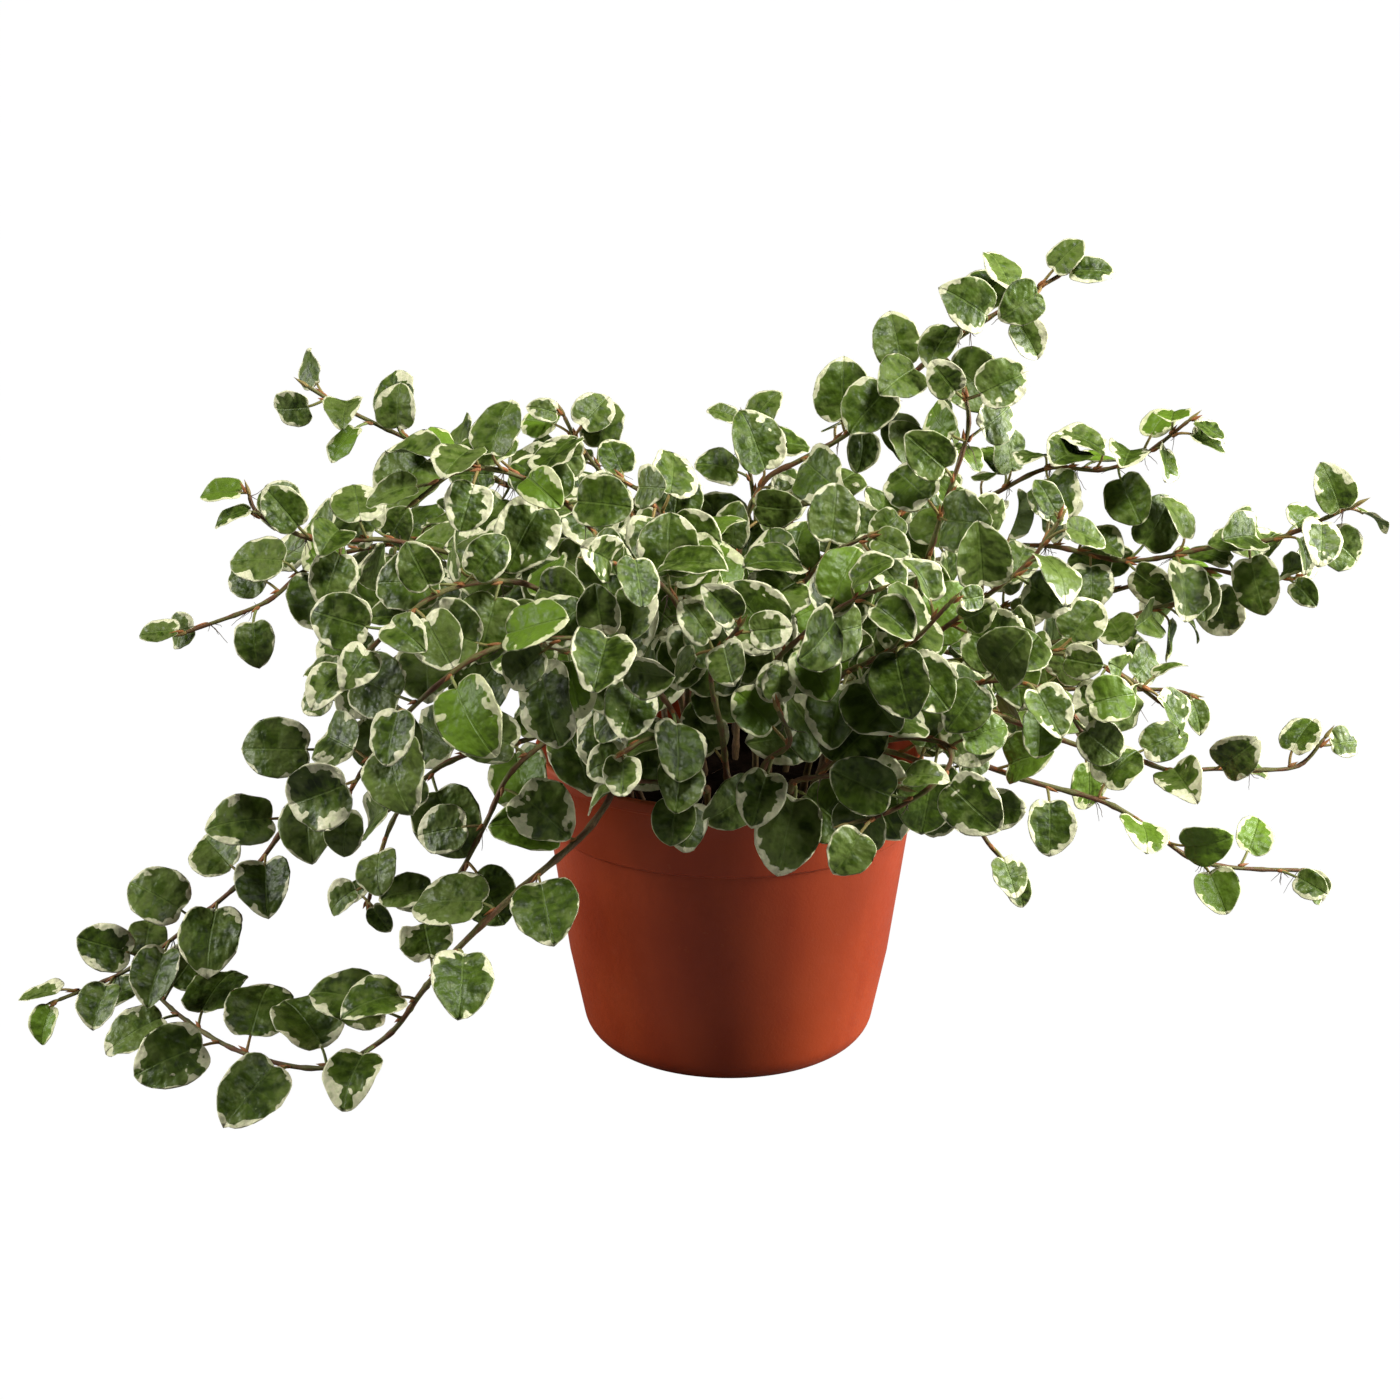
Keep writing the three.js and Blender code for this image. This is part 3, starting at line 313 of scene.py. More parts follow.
def seeded_random(seed):
    """Repeatable random numbers from 0 to 1, by the mulberry32 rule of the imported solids."""
    state = seed & 0xFFFFFFFF

    def draw():
        nonlocal state
        state = (state + 0x6D2B79F5) & 0xFFFFFFFF
        mixed = (state ^ (state >> 15)) * (state | 1) & 0xFFFFFFFF
        mixed ^= (mixed + (mixed ^ (mixed >> 7)) * (mixed | 61)) & 0xFFFFFFFF
        return ((mixed ^ (mixed >> 14)) & 0xFFFFFFFF) / 4294967296

    return draw


def unit(vector):
    """The same direction, one long."""
    return vector / np.linalg.norm(vector)


def shares(count):
    """A column of numbers from 0 to 1."""
    return np.linspace(0, 1, count)[:, None]


def smooth_through(points, steps):
    """A smooth curve through points, with that many steps between each two."""
    points = np.array(points, float)
    ends = [2 * points[0] - points[1], 2 * points[-1] - points[-2]]
    p = np.vstack([ends[0], points, ends[1]])
    t = (np.arange(steps) / steps)[:, None]
    spans = []
    for i in range(len(points) - 1):
        start, end = 0.5 * (p[i + 2] - p[i]), 0.5 * (p[i + 3] - p[i + 1])
        square = -3 * p[i + 1] + 3 * p[i + 2] - 2 * start - end
        cube = 2 * p[i + 1] - 2 * p[i + 2] + start + end
        spans.append(p[i + 1] + start * t + square * t**2 + cube * t**3)
    return np.vstack([*spans, points[-1]])


def distances(line):
    """How far along a line each of its points is."""
    return np.concatenate([[0], np.cumsum(np.linalg.norm(np.diff(line, axis=0), axis=1))])


def along(line, wanted):
    """The points at given distances along a line."""
    reached = distances(line)
    return np.stack([np.interp(wanted, reached, line[:, k]) for k in range(3)], axis=-1)


def smooth_line(shoot):
    """The points of a stem from its root on, evenly spaced."""
    x, y = shoot["root"]
    foot = [(ROOT_LEAN * x, ROOT_LEAN * y, SOIL_SURFACE - ROOT_DEPTH), (x, y, SOIL_SURFACE + 3)]
    fine = smooth_through(foot + shoot["route"], 12)
    length = distances(fine)[-1]
    steps = math.floor(length / BEND["step"] + 0.5)
    return along(fine, np.arange(steps + 1) * length / steps)


def pushes(points, owner):
    """Points of two stems that come too near push each other apart."""
    tree = KDTree(len(points))
    for index, point in enumerate(points):
        tree.insert(point, index)
    tree.balance()
    push = np.zeros_like(points)
    for a, point in enumerate(points):
        for _, b, _ in tree.find_range(point, BEND["clear"] + 0.01):
            if b > a and owner[a] != owner[b]:
                gap = points[a] - points[b]
                distance = np.linalg.norm(gap)
                if distance < BEND["clear"]:
                    move = gap * (0.5 * (BEND["clear"] - distance) / max(distance, 0.01))
                    push[a] += move
                    push[b] -= move
    return push


def spread_push(push):
    """Each point moves with its neighbours, so that a bend stays smooth."""
    padded = np.vstack([push[:1], push, push[-1:]])
    return 0.5 * push + 0.25 * padded[:-2] + 0.25 * padded[2:]


def keep_in_place(line):
    """Roots stay in the soil, and what passes over the rim clears it."""
    reach = np.hypot(line[:, 0], line[:, 1])
    inside = (line[:, 2] < SOIL_SURFACE + 3) & (reach < POT["rim_inner"]) & (reach > BEND["root_reach"])
    line[inside, :2] *= (BEND["root_reach"] / reach[inside])[:, None]
    over = (np.abs(reach - POT["rim"]) < BEND["rim_reach"]) & (np.arange(len(line)) > 2)
    line[over, 2] = np.maximum(line[over, 2], POT["height"] + BEND["rim_lift"])
    line[:, 2] = np.maximum(line[:, 2], BEND["floor"])


def bend_clear(lines):
    """The stems, bent until they pass clear of each other."""
    owner = np.repeat(np.arange(len(lines)), [len(line) for line in lines])
    cuts = np.cumsum([len(line) for line in lines])[:-1]
    for _ in range(BEND["rounds"]):
        push = np.split(pushes(np.vstack(lines), owner), cuts)
        for line, own in zip(lines, push):
            line += spread_push(spread_push(own))
            keep_in_place(line)
    return lines


def stem_joints(line, shoot, seed):
    """Distances along a stem of its joints: a few on the bare foot, then one for each leaf."""
    draw = seeded_random(seed)
    length = distances(line)[-1]
    bare_steps = math.floor(shoot["bare"] / GROWTH["bare_step"] + 0.5)
    found = [step * shoot["bare"] / bare_steps for step in range(bare_steps)]
    distance = shoot["bare"]
    while distance < length - 0.5 * GROWTH["gap"]:
        found.append(distance)
        closer = 1 - GROWTH["closer"] * (distance / length) ** 3
        distance += GROWTH["gap"] * closer * (1 + GROWTH["uneven"] * (2 * draw() - 1))
    return np.array([*found, length]), bare_steps


def leaf_of(root, stalk, axis, normal, length, width, wave):
    """A leaf: where it starts, which way it runs and faces, and its measures."""
    return dict(root=root, base=root + stalk, axis=axis, normal=normal, across=np.cross(normal, axis),
                length=length, width=width, wave=wave)


def leaf_at(joints, index, shoot, draw, slack):
    """A leaf behind a joint: its face looks the shoot's way, with some wobble."""
    ahead = unit(joints[index + 1] - joints[index])
    root = (joints[index] + joints[index + 1]) / 2
    wobble = np.array([2 * draw() - 1, 2 * draw() - 1, 2 * draw() - 1])
    normal = unit(unit(np.array(shoot["facing"], float)) + wobble * slack)
    forward = ahead + GROWTH["droop"] * DOWN
    forward = unit(forward - forward.dot(normal) * normal)
    side = (1 if index % 2 == 0 else -1) * shoot["side"]
    ending = GROWTH["tip_lean"] if index == len(joints) - 2 else 1
    lean = math.radians(ending * (GROWTH["lean"] + GROWTH["spread"] * (2 * draw() - 1)))
    axis = forward * math.cos(lean) + np.cross(normal, forward) * side * math.sin(lean)
    stalk = unit(axis + GROWTH["rise"] * normal) * STALK_LENGTH
    from_tip = len(joints) - 2 - index
    young = max(0, YOUNG["count"] - from_tip) * YOUNG["shrink"]
    length = max(shoot["leaf"] * (1 - young), YOUNG["smallest"])
    length *= LEAF_SIZE + LEAF_SPREAD * draw()
    width = length * (NARROWEST + (1 - NARROWEST) * draw())
    return leaf_of(root, stalk, axis, normal, length, width, 2 * draw() - 1)


def packed_corners(node):
    """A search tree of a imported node's corners, in millimetres."""
    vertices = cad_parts[node].data.vertices
    tree = KDTree(len(vertices))
    for index, vertex in enumerate(vertices):
        tree.insert(vertex.co / MM, index)
    tree.balance()
    return tree


def grew(leaf, corners):
    """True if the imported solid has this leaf's tip, with both its corners."""
    tip = leaf["base"] + leaf["axis"] * leaf["length"] - leaf["normal"] * TIP_DROP * leaf["length"]
    half = leaf["normal"] * RIM_THICKNESS / 2
    return all(corners.find(place)[2] < TIP_MATCH for place in (tip + half, tip - half))


def grown_leaves(name, number, line):
    """The leaves of a shoot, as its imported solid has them."""
    shoot = SHOOTS[name]
    at, first = stem_joints(line, shoot, number + 1)
    joints = along(line, at)
    corners = packed_corners(name)
    leaves = []
    for joint in range(first, len(joints) - 1):
        for attempt in range(GROWTH["tries"]):
            draw = seeded_random(number * 10007 + joint * 101 + attempt)
            leaf = leaf_at(joints, joint, shoot, draw, shoot["loose"] + GROWTH["slack"] * attempt)
            if grew(leaf, corners):
                leaves.append(leaf)
                break
    return leaves, at


# Meshes


class Piece:
    """Gathers the corners, faces and leaf attributes of one mesh."""

    def __init__(self):
        self.parts = []
        self.count = 0

    def add(self, points, faces, slot, **values):
        """faces holds corner numbers, four to a row, with the last one twice in a triangle.
        Of the values, unwrapped gives each of them its place on the flat map."""
        slot = np.broadcast_to(slot, len(faces))
        self.parts.append(dict(points=points, faces=faces + self.count, slot=slot, **values))
        self.count += len(points)

    def gathered(self, key):
        return np.concatenate([part[key] for part in self.parts])

    def made(self, name, materials):
        """The piece as an object, with its attributes and its flat map."""
        faces = self.gathered("faces")
        kept = np.ones(faces.shape, bool)
        kept[:, 3] = faces[:, 3] != faces[:, 2]
        sizes = kept.sum(1)
        mesh = bpy.data.meshes.new(name)
        mesh.vertices.add(self.count)
        mesh.loops.add(int(sizes.sum()))
        mesh.polygons.add(len(faces))
        mesh.vertices.foreach_set("co", (self.gathered("points") * MM).astype(np.float32).ravel())
        mesh.loops.foreach_set("vertex_index", faces[kept].astype(np.int32))
        starts = np.concatenate([[0], np.cumsum(sizes)[:-1]])
        mesh.polygons.foreach_set("loop_start", starts.astype(np.int32))
        mesh.polygons.foreach_set("material_index", self.gathered("slot").astype(np.int32))
        mesh.update(calc_edges=True)
        mesh.validate()
        mesh.shade_smooth()
        flat = mesh.uv_layers.new(name="OFBake")
        flat.data.foreach_set("uv", self.gathered("unwrapped")[kept].astype(np.float32).ravel())
        for key in ("place", "grid", "kind"):
            layer = mesh.attributes.new(f"leaf_{key}", "FLOAT_VECTOR", "POINT")
            layer.data.foreach_set("vector", self.gathered(key).astype(np.float32).ravel())
        layer = mesh.attributes.new("leaf_rim", "FLOAT", "POINT")
        layer.data.foreach_set("value", self.gathered("rim").astype(np.float32))
        for material in materials:
            mesh.materials.append(material)
        return linked(name, mesh)


def flat_cells(count):
    """Square cells of a piece's flat map, one after another: their corners and their size."""
    side = math.ceil(math.sqrt(count))
    for row, column in np.ndindex(side, side):
        yield np.array([column, row]) / side, 1 / side


# Tubes: stems, stalks, buds and root hairs


def tube(piece, line, radii, slot, cell, sides, kind=(0, 0, 0), age=(0, 1), seed=0.0):
    """A closed tube along a line of points, which ends in a point where its radius nears nothing."""
    line = np.asarray(line, float)
    count = len(line)
    ahead = np.gradient(line, axis=0)
    ahead /= np.maximum(np.linalg.norm(ahead, axis=1, keepdims=True), 1e-9)
    across = np.cross(ahead[0], ACROSS_START)
    rings = []
    turn = np.arange(sides) * 2 * math.pi / sides
    for point, way, radius in zip(line, ahead, radii):
        across = unit(across - across.dot(way) * way)
        up = np.cross(way, across)
        rings.append(point + radius * (np.cos(turn)[:, None] * across + np.sin(turn)[:, None] * up))
    points = np.vstack([*rings, line[:1], line[-1:]])
    i, j = np.divmod(np.arange((count - 1) * sides), sides)
    k = (j + 1) % sides
    body = np.stack([i * sides + j, i * sides + k, (i + 1) * sides + k, (i + 1) * sides + j], 1)
    near, after, last = j[:sides], k[:sides], (count - 1) * sides
    middle = np.full(sides, count * sides)
    start = np.stack([after, near, middle, middle], 1)
    end = np.stack([last + near, last + after, middle + 1, middle + 1], 1)
    reached = distances(line)
    share = reached / reached[-1]
    u = 0.05 + 0.9 * np.stack([share[i], share[i], share[i + 1], share[i + 1]], 1)
    v = 0.05 + 0.9 * np.stack([j, j + 1, j + 1, j], 1) / sides
    corner, size = cell
    unwrapped = np.concatenate([np.stack([u, v], 2), np.full((2 * sides, 4, 2), 0.5)]) * size + corner

    def with_ends(values, first, final):
        return np.concatenate([values, [first, final]])

    around = np.tile(turn, count)
    each = np.repeat(np.arange(count), sides)
    far = with_ends(reached[each], 0, reached[-1])
    ages = age[0] + (age[1] - age[0]) * with_ends(share[each], 0, 1)
    place = np.stack([far, with_ends(around, 0, 0), np.full(len(points), seed)], 1)
    grid = np.stack([ages, with_ends(np.cos(around), 0, 0), with_ends(np.sin(around), 0, 0)], 1)
    kinds = np.tile(kind, (len(points), 1))
    piece.add(points, np.vstack([body, start, end]), slot, unwrapped=unwrapped, place=place,
              grid=grid, kind=kinds, rim=np.zeros(len(points)))


# Leaf blades


def outline(steps):
    """Ways along and across of places on the outline of half a blade."""
    return smooth_through([(x, y, 0) for x, y in OUTLINE], steps)[:, :2].T


def blade_template():
    """The places of a blade's corners in lengths and widths, and how far each is from the rim."""
    edge_x, edge_y = outline(ROWS)[:, :: len(OUTLINE) - 1, None]
    midrib = shares(ROWS + 1) ** 1.25
    x = midrib + np.abs(COLUMNS) * (edge_x - midrib)
    y = COLUMNS * edge_y
    rim_x, rim_y = outline(30)
    apart = np.hypot(x[..., None] - rim_x, (np.abs(y)[..., None] - rim_y) * USUAL_WIDTH)
    return x, y, apart.min(-1)


BLADE_X, BLADE_Y, BLADE_RIM = blade_template()


def blade_faces():
    """Faces of the upper and the lower side, which share their corners on the outline."""
    across = len(COLUMNS)
    upper = np.zeros((ROWS + 1, across), int)
    upper[1:ROWS] = np.arange((ROWS - 1) * across).reshape(ROWS - 1, across) + 2
    upper[ROWS] = 1
    lower = upper.copy()
    inner = (ROWS - 1) * (across - 2)
    lower[1:ROWS, 1:-1] = np.arange(inner).reshape(ROWS - 1, across - 2) + 2 + (ROWS - 1) * across
    found = []
    for grid, flip in ((upper, False), (lower, True)):
        a, b, c, d = grid[:-1, :-1], grid[1:, :-1], grid[1:, 1:], grid[:-1, 1:]
        first = np.stack([b[0], c[0], a[0], a[0]], 1)
        last = np.stack([a[-1], b[-1], d[-1], d[-1]], 1)
        middle = np.stack([a, b, c, d], -1)[1:-1].reshape(-1, 4)
        if flip:
            first, last, middle = first[:, [1, 0, 2, 2]], last[:, [1, 0, 2, 2]], middle[:, ::-1]
        found.append(np.vstack([first, middle, last]))
    return found


UPPER_FACES, LOWER_FACES = blade_faces()


def soft_abs(value, soft):
    """The size of a number, with the crease at nought rounded."""
    return np.sqrt(value**2 + soft**2) - soft


def on_leaf(leaf, x, y, z):
    """Places in space for ways along, across and over a leaf."""
    flat = x[..., None] * leaf["axis"] + y[..., None] * leaf["across"]
    return leaf["base"] + flat + z[..., None] * leaf["normal"]


def blade_lift(leaf, rng):
    """Height of a blade over its flat plane: fold, waves, ripples and puckers between its veins."""
    length = leaf["length"]
    x, y, v = BLADE_X, BLADE_Y, np.broadcast_to(COLUMNS, BLADE_X.shape)
    rows = shares(ROWS + 1)
    at, lift = BIG_WAVE if length > SMALL_LEAF else SMALL_WAVE
    wave = np.interp(x, at, lift) * WAVE * leaf["wave"] * np.sign(v) * np.abs(v) ** 1.6
    fold = FOLD * soft_abs(y, 0.06) * leaf["fold"]
    ripple = np.zeros_like(x)
    for side in (-1, 1):
        turns, start = rng.uniform(2.0, 3.4), rng.uniform(0, 2 * math.pi)
        ripple += (v * side > 0) * np.sin(2 * math.pi * turns * rows + start) * np.abs(v) ** 3
    shift = 40 * leaf["seed"]
    quilted = value_noise(x * length + shift, y * length, 4, RELIEF["broad"])
    quilted += 0.5 * value_noise(x * length, y * length + shift, 5, RELIEF["fine"])
    pucker = quilted * np.clip(np.abs(v) * 4, 0.2, 1) * min(1, length / SMALL_LEAF)
    relief = RELIEF["ripple"] * ripple * leaf["ripple"] + RELIEF["pucker"] * pucker
    arch = leaf["arch"] * x * (1 - x)
    drop = -TIP_DROP * x**2 - leaf["curl"] * x**4
    return (wave + fold + relief + arch + drop) * length


def add_blade(piece, leaf, rng, cells):
    """One blade as a closed thin body: upper side in slot 0, lower side in slot 1."""
    length, width = leaf["length"], leaf["width"]
    v = np.broadcast_to(COLUMNS, BLADE_X.shape)
    rows = shares(ROWS + 1)
    teeth = value_noise(rows * 9, v + 40 * leaf["seed"], 6, 1)
    lobes = RELIEF["lobes"] * np.cos(2 * math.pi * (VEINS + 1) * rows)
    edge = 1 + (lobes + RELIEF["teeth"] * teeth) * np.abs(v) ** 6
    skew = 1 + leaf["skew"] * v
    x = BLADE_X * length
    y = BLADE_Y * width * edge * skew
    z = blade_lift(leaf, rng)
    thick = BLADE_THICKNESS * (1 - np.abs(v) ** 5) * np.clip(np.sin(math.pi * rows) * 4, 0, 1)
    rib = RIB["depth"] * np.exp(-((y / RIB["width"]) ** 2)) * (1 - rows)
    upper, lower = on_leaf(leaf, x, y, z + thick / 2), on_leaf(leaf, x, y, z - thick / 2 - rib)
    ends = [upper[0, :1], upper[-1, :1]]
    points = np.vstack([*ends, upper[1:-1].reshape(-1, 3), lower[1:-1, 1:-1].reshape(-1, 3)])

    def spread(values):
        """Values of the rows and columns, in the order of the corners."""
        ends = [values[0, :1], values[-1, :1]]
        return np.concatenate([*ends, values[1:-1].ravel(), values[1:-1, 1:-1].ravel()])

    local = [spread(x), spread(y), np.full(len(points), leaf["seed"])]
    points[:, 2] += max(0, FLOOR_GAP - points[:, 2].min())
    grid = [spread(rows * np.ones_like(x)), spread(v * np.ones_like(x)), np.zeros(len(points))]
    rim = spread(BLADE_RIM * length)
    kind = np.tile([leaf["cream"], leaf["young"], leaf["tone"]], (len(points), 1))
    flat = np.stack([local[0] / length * 0.9 + 0.06, local[1] / width * 0.9 + 0.5], 1)
    unwrapped = []
    for faces in (UPPER_FACES, LOWER_FACES):
        corner, size = next(cells)
        unwrapped.append(flat[faces] * size + corner)
    slots = np.repeat([0, 1], [len(UPPER_FACES), len(LOWER_FACES)])
    piece.add(points, np.vstack([UPPER_FACES, LOWER_FACES]), slots, unwrapped=np.concatenate(unwrapped),
              place=np.stack(local, 1), grid=np.stack(grid, 1), kind=kind, rim=rim)


# Materials


class Nodes:
    """Short names for the nodes of one material."""

    def __init__(self, name):
        self.material = bpy.data.materials.new(name)
        self.material.use_nodes = True
        self.tree = self.material.node_tree
        self.shader = self.tree.nodes["Principled BSDF"]

    def put(self, kind, inputs=(), **settings):
        node = self.tree.nodes.new(kind)
        for key, value in settings.items():
            setattr(node, key, value)
        for key, value in dict(inputs).items():
            self.feed(node.inputs[key], value)
        return node

    def feed(self, socket, value):
        if isinstance(value, bpy.types.NodeSocket):
            self.tree.links.new(value, socket)
        else:
            socket.default_value = value

    def attribute(self, name, output="Vector"):
        return self.put("ShaderNodeAttribute", attribute_name=name).outputs[output]

    def parts(self, vector):
        return self.put("ShaderNodeSeparateXYZ", {0: vector}).outputs

    def joined(self, x, y, z):
        return self.put("ShaderNodeCombineXYZ", {0: x, 1: y, 2: z}).outputs[0]

    def calc(self, kind, a, b=0.0, c=0.0):
        return self.put("ShaderNodeMath", {0: a, 1: b, 2: c}, operation=kind).outputs[0]

    def times(self, a, b):
        return self.calc("MULTIPLY", a, b)

    def plus(self, a, b):
        return self.calc("ADD", a, b)

    def scaled(self, value, factor, offset):
        return self.calc("MULTIPLY_ADD", value, factor, offset)

    def noise(self, vector, scale, detail=2.0, roughness=0.5):
        inputs = {"Vector": vector, "Scale": scale, "Detail": detail, "Roughness": roughness}
        return self.put("ShaderNodeTexNoise", inputs).outputs[0]

    def step(self, value, low, high, start=0.0, end=1.0):
        """From start to end, smoothly, as value goes from low to high."""
        inputs = {0: value, 1: low, 2: high, 3: start, 4: end}
        return self.put("ShaderNodeMapRange", inputs, interpolation_type="SMOOTHSTEP").outputs[0]

    def mix(self, share, a, b):
        a, b = (value if isinstance(value, bpy.types.NodeSocket) else (*value, 1) for value in (a, b))
        return self.put("ShaderNodeMix", {0: share, 6: a, 7: b}, data_type="RGBA").outputs[2]

    def bump(self, height, depth):
        inputs = {"Height": height, "Distance": depth * MM, "Strength": 1.0}
        return self.put("ShaderNodeBump", inputs).outputs[0]

    def finish(self, **values):
        for key, value in values.items():
            self.feed(self.shader.inputs[key.replace("_", " ")], value)
        return self.material


def leaf_material(name, under):
    """Green with grey blotches between the side veins and an uneven cream margin."""
    n = Nodes(name)
    place, grid, kind = (n.attribute(f"leaf_{key}") for key in ("place", "grid", "kind"))
    rim = n.attribute("leaf_rim", "Fac")
    x, y, seed = n.parts(place)
    row, side, _ = n.parts(grid)
    cream, young, tone = n.parts(kind)
    apart = n.calc("ABSOLUTE", side)
    vein_phase = n.times(row, float(VEINS + 1))
    from_vein = n.calc("ABSOLUTE", n.calc("SUBTRACT", n.calc("FRACT", vein_phase), 0.5))
    seeded = n.joined(x, y, n.times(seed, 61.0))
    # How far the cream reaches in from the rim, in millimetres
    broad = n.step(n.noise(seeded, 0.12, 1.0), 0.42, 0.6, 0.14, 2.5)
    jag = n.step(n.noise(seeded, 0.34, 1.6, 0.45), 0.32, 0.68, 0.5, 1.45)
    toothed = n.scaled(from_vein, -0.9, 1.2)
    reach = n.times(n.times(broad, cream), n.times(jag, toothed))
    inward = n.calc("SUBTRACT", rim, reach)
    is_green = n.step(inward, -0.18, 0.26)
    # Blotches run out along the side veins
    rows, sides = n.times(row, 7.5), n.times(side, 1.9)
    stretched = n.joined(rows, sides, n.times(seed, 37.0))
    patch = n.noise(stretched, 0.9, 2.0, 0.5)
    patch = n.plus(patch, n.step(inward, 3.2, 0.0, 0.0, 0.09))
    patch = n.plus(patch, n.scaled(tone, 0.22, -0.11))
    grey = n.step(patch, 0.44, 0.64)
    dark = n.step(n.noise(stretched, 1.2, 1.0), 0.4, 0.66)
    green = n.mix(dark, LEAF_MID, LEAF_DARK)
    green = n.mix(n.times(grey, 0.6), green, LEAF_GREY)
    mottled = n.noise(seeded, 0.9, 3.0, 0.6)
    green = n.mix(n.step(mottled, 0.35, 0.75, 0.0, 0.35), green, LEAF_MID)
    green = n.mix(young, green, LEAF_YOUNG)
    if under:
        green = n.mix(0.72, green, LEAF_UNDER)
    midrib = n.step(n.calc("ABSOLUTE", y), 0.14, 0.42, 1.0, 0.0)
    thin = n.step(from_vein, 0.5, 0.445)
    thin = n.times(n.calc("SUBTRACT", 1.0, thin), n.step(apart, 0.95, 0.3))
    veins = n.calc("MAXIMUM", n.times(midrib, 0.4), n.times(thin, 0.22))
    green = n.mix(veins, green, VEIN)
    pale = n.mix(n.step(mottled, 0.3, 0.8), LEAF_CREAM, LEAF_PALE)
    pale = n.mix(n.times(young, 0.4), pale, LEAF_YOUNG_PALE)
    colour = n.mix(is_green, pale, green)
    stain = n.step(n.noise(seeded, 0.4, 2.0), 0.3, 0.7, 0.0, 0.18)
    colour = n.mix(stain, colour, LEAF_STAIN)
    pucker = n.times(n.step(from_vein, 0.5, 0.1), n.step(apart, 0.05, 0.4))
    fine = n.noise(seeded, 2.2, 2.0)
    quilt = n.noise(seeded, 0.42, 1.5)
    height = n.scaled(fine, 0.04, n.times(pucker, -0.3 if under else 0.3))
    height = n.scaled(quilt, 1.5, height)
    height = n.scaled(midrib, 0.35 if under else -0.35, height)
    rough = n.step(fine, 0.3, 0.7, 0.36, 0.5)
    if under:
        rough = n.step(n.noise(seeded, 0.9, 3.0), 0.3, 0.7, 0.5, 0.62)
    return n.finish(Base_Color=colour, Roughness=rough, Normal=n.bump(height, 0.5), Specular_IOR_Level=0.24)


def stem_material():
    """Olive when young, brown and barky when old, with red-brown blushes."""
    n = Nodes("fig_stem")
    x, _, seed = n.parts(n.attribute("leaf_place"))
    age, cos, sin = n.parts(n.attribute("leaf_grid"))
    kind = n.parts(n.attribute("leaf_kind"))
    around = n.joined(n.times(x, 0.35), n.scaled(cos, 1.2, seed), sin)
    bark = n.noise(around, 2.6, 4.0, 0.65)
    blush = n.noise(around, 0.45, 2.0)
    old = n.mix(n.step(bark, 0.35, 0.65), *BARK)
    green = n.mix(n.step(bark, 0.3, 0.7), *GREEN_STEM)
    green = n.mix(n.step(blush, 0.44, 0.6), green, BLUSH)
    colour = n.mix(n.step(age, 0.08, 0.65), old, green)
    colour = n.mix(kind[1], colour, STALK_GREEN)
    colour = n.mix(kind[0], colour, n.mix(n.step(bark, 0.35, 0.65), *BUD_SHEATH))
    rough = n.step(bark, 0.3, 0.7, 0.5, 0.75)
    return n.finish(Base_Color=colour, Roughness=rough, Normal=n.bump(bark, 0.2), Specular_IOR_Level=0.35)


def root_material():
    """Dull brown threads."""
    n = Nodes("fig_root_hairs")
    x, turn, seed = n.parts(n.attribute("leaf_place"))
    shade = n.noise(n.joined(x, turn, seed), 0.8, 2.0)
    colour = n.mix(n.step(shade, 0.3, 0.7), *ROOT_HAIR)
    return n.finish(Base_Color=colour, Roughness=0.8)


def pot_material():
    """Satin moulded plastic: faint flow marks, specks of dust and a painted highlight, a pale band on the
    lip where it catches light.
    """
    n = Nodes("pot_plastic")
    at = n.put("ShaderNodeTexCoord").outputs["Object"]
    x, y, z = n.parts(at)
    turn = n.calc("ARCTAN2", y, x)
    wrapped = n.joined(n.times(turn, 1.2), 0.0, n.times(z, 6.0))
    flow = n.noise(wrapped, 2.2, 3.0)
    cloud = n.noise(at, 28.0, 4.0, 0.6)
    grain = n.noise(at, 1400.0, 2.0)
    specks = n.noise(at, 420.0, 3.0, 0.7)
    colour = n.mix(n.step(flow, 0.35, 0.65), *PLASTIC)
    colour = n.mix(n.step(cloud, 0.4, 0.75, 0.0, 0.5), colour, PLASTIC_CLOUD)
    # Painted highlight: a pale band along the top of the lip, in place of the light that the lip catches
    lip = n.step(z, (POT["height"] - 1.6) * MM, (POT["height"] - 0.2) * MM, 0.0, 0.45)
    colour = n.mix(lip, colour, PLASTIC_LIP_HIGHLIGHT)
    dust = n.step(specks, 0.63, 0.74, 0.0, 0.25)
    colour = n.mix(dust, colour, PLASTIC_DUST)
    rough = n.scaled(cloud, 0.22, n.step(specks, 0.4, 0.8, 0.3, 0.48))
    height = n.scaled(grain, 0.35, n.times(flow, 0.5))
    return n.finish(Base_Color=colour, Roughness=rough, Normal=n.bump(height, 0.12), Specular_IOR_Level=0.3)


def peat_material():
    """Near black and dull, with a few lighter fibres."""
    n = Nodes("peat")
    at = n.put("ShaderNodeTexCoord").outputs["Object"]
    lumps = n.noise(at, 160.0, 5.0, 0.7)
    fibres = n.noise(at, 700.0, 4.0, 0.7)
    colour = n.mix(n.step(lumps, 0.35, 0.7), *PEAT)
    colour = n.mix(n.step(fibres, 0.6, 0.75, 0.0, 0.6), colour, PEAT_FIBRE)
    height = n.plus(lumps, n.times(fibres, 0.5))
    rough = n.step(fibres, 0.3, 0.7, 0.85, 1.0)
    return n.finish(Base_Color=colour, Roughness=rough, Normal=n.bump(height, 1.2), Specular_IOR_Level=0.0)


# A leafy stem's materials in the order of its slots, of which a blade takes the first two

MATERIALS = [leaf_material("fig_leaf_top", False), leaf_material("fig_leaf_under", True), stem_material(),
             root_material()]
STEM_SLOT = 2
ROOT_SLOT = 3


# The plant


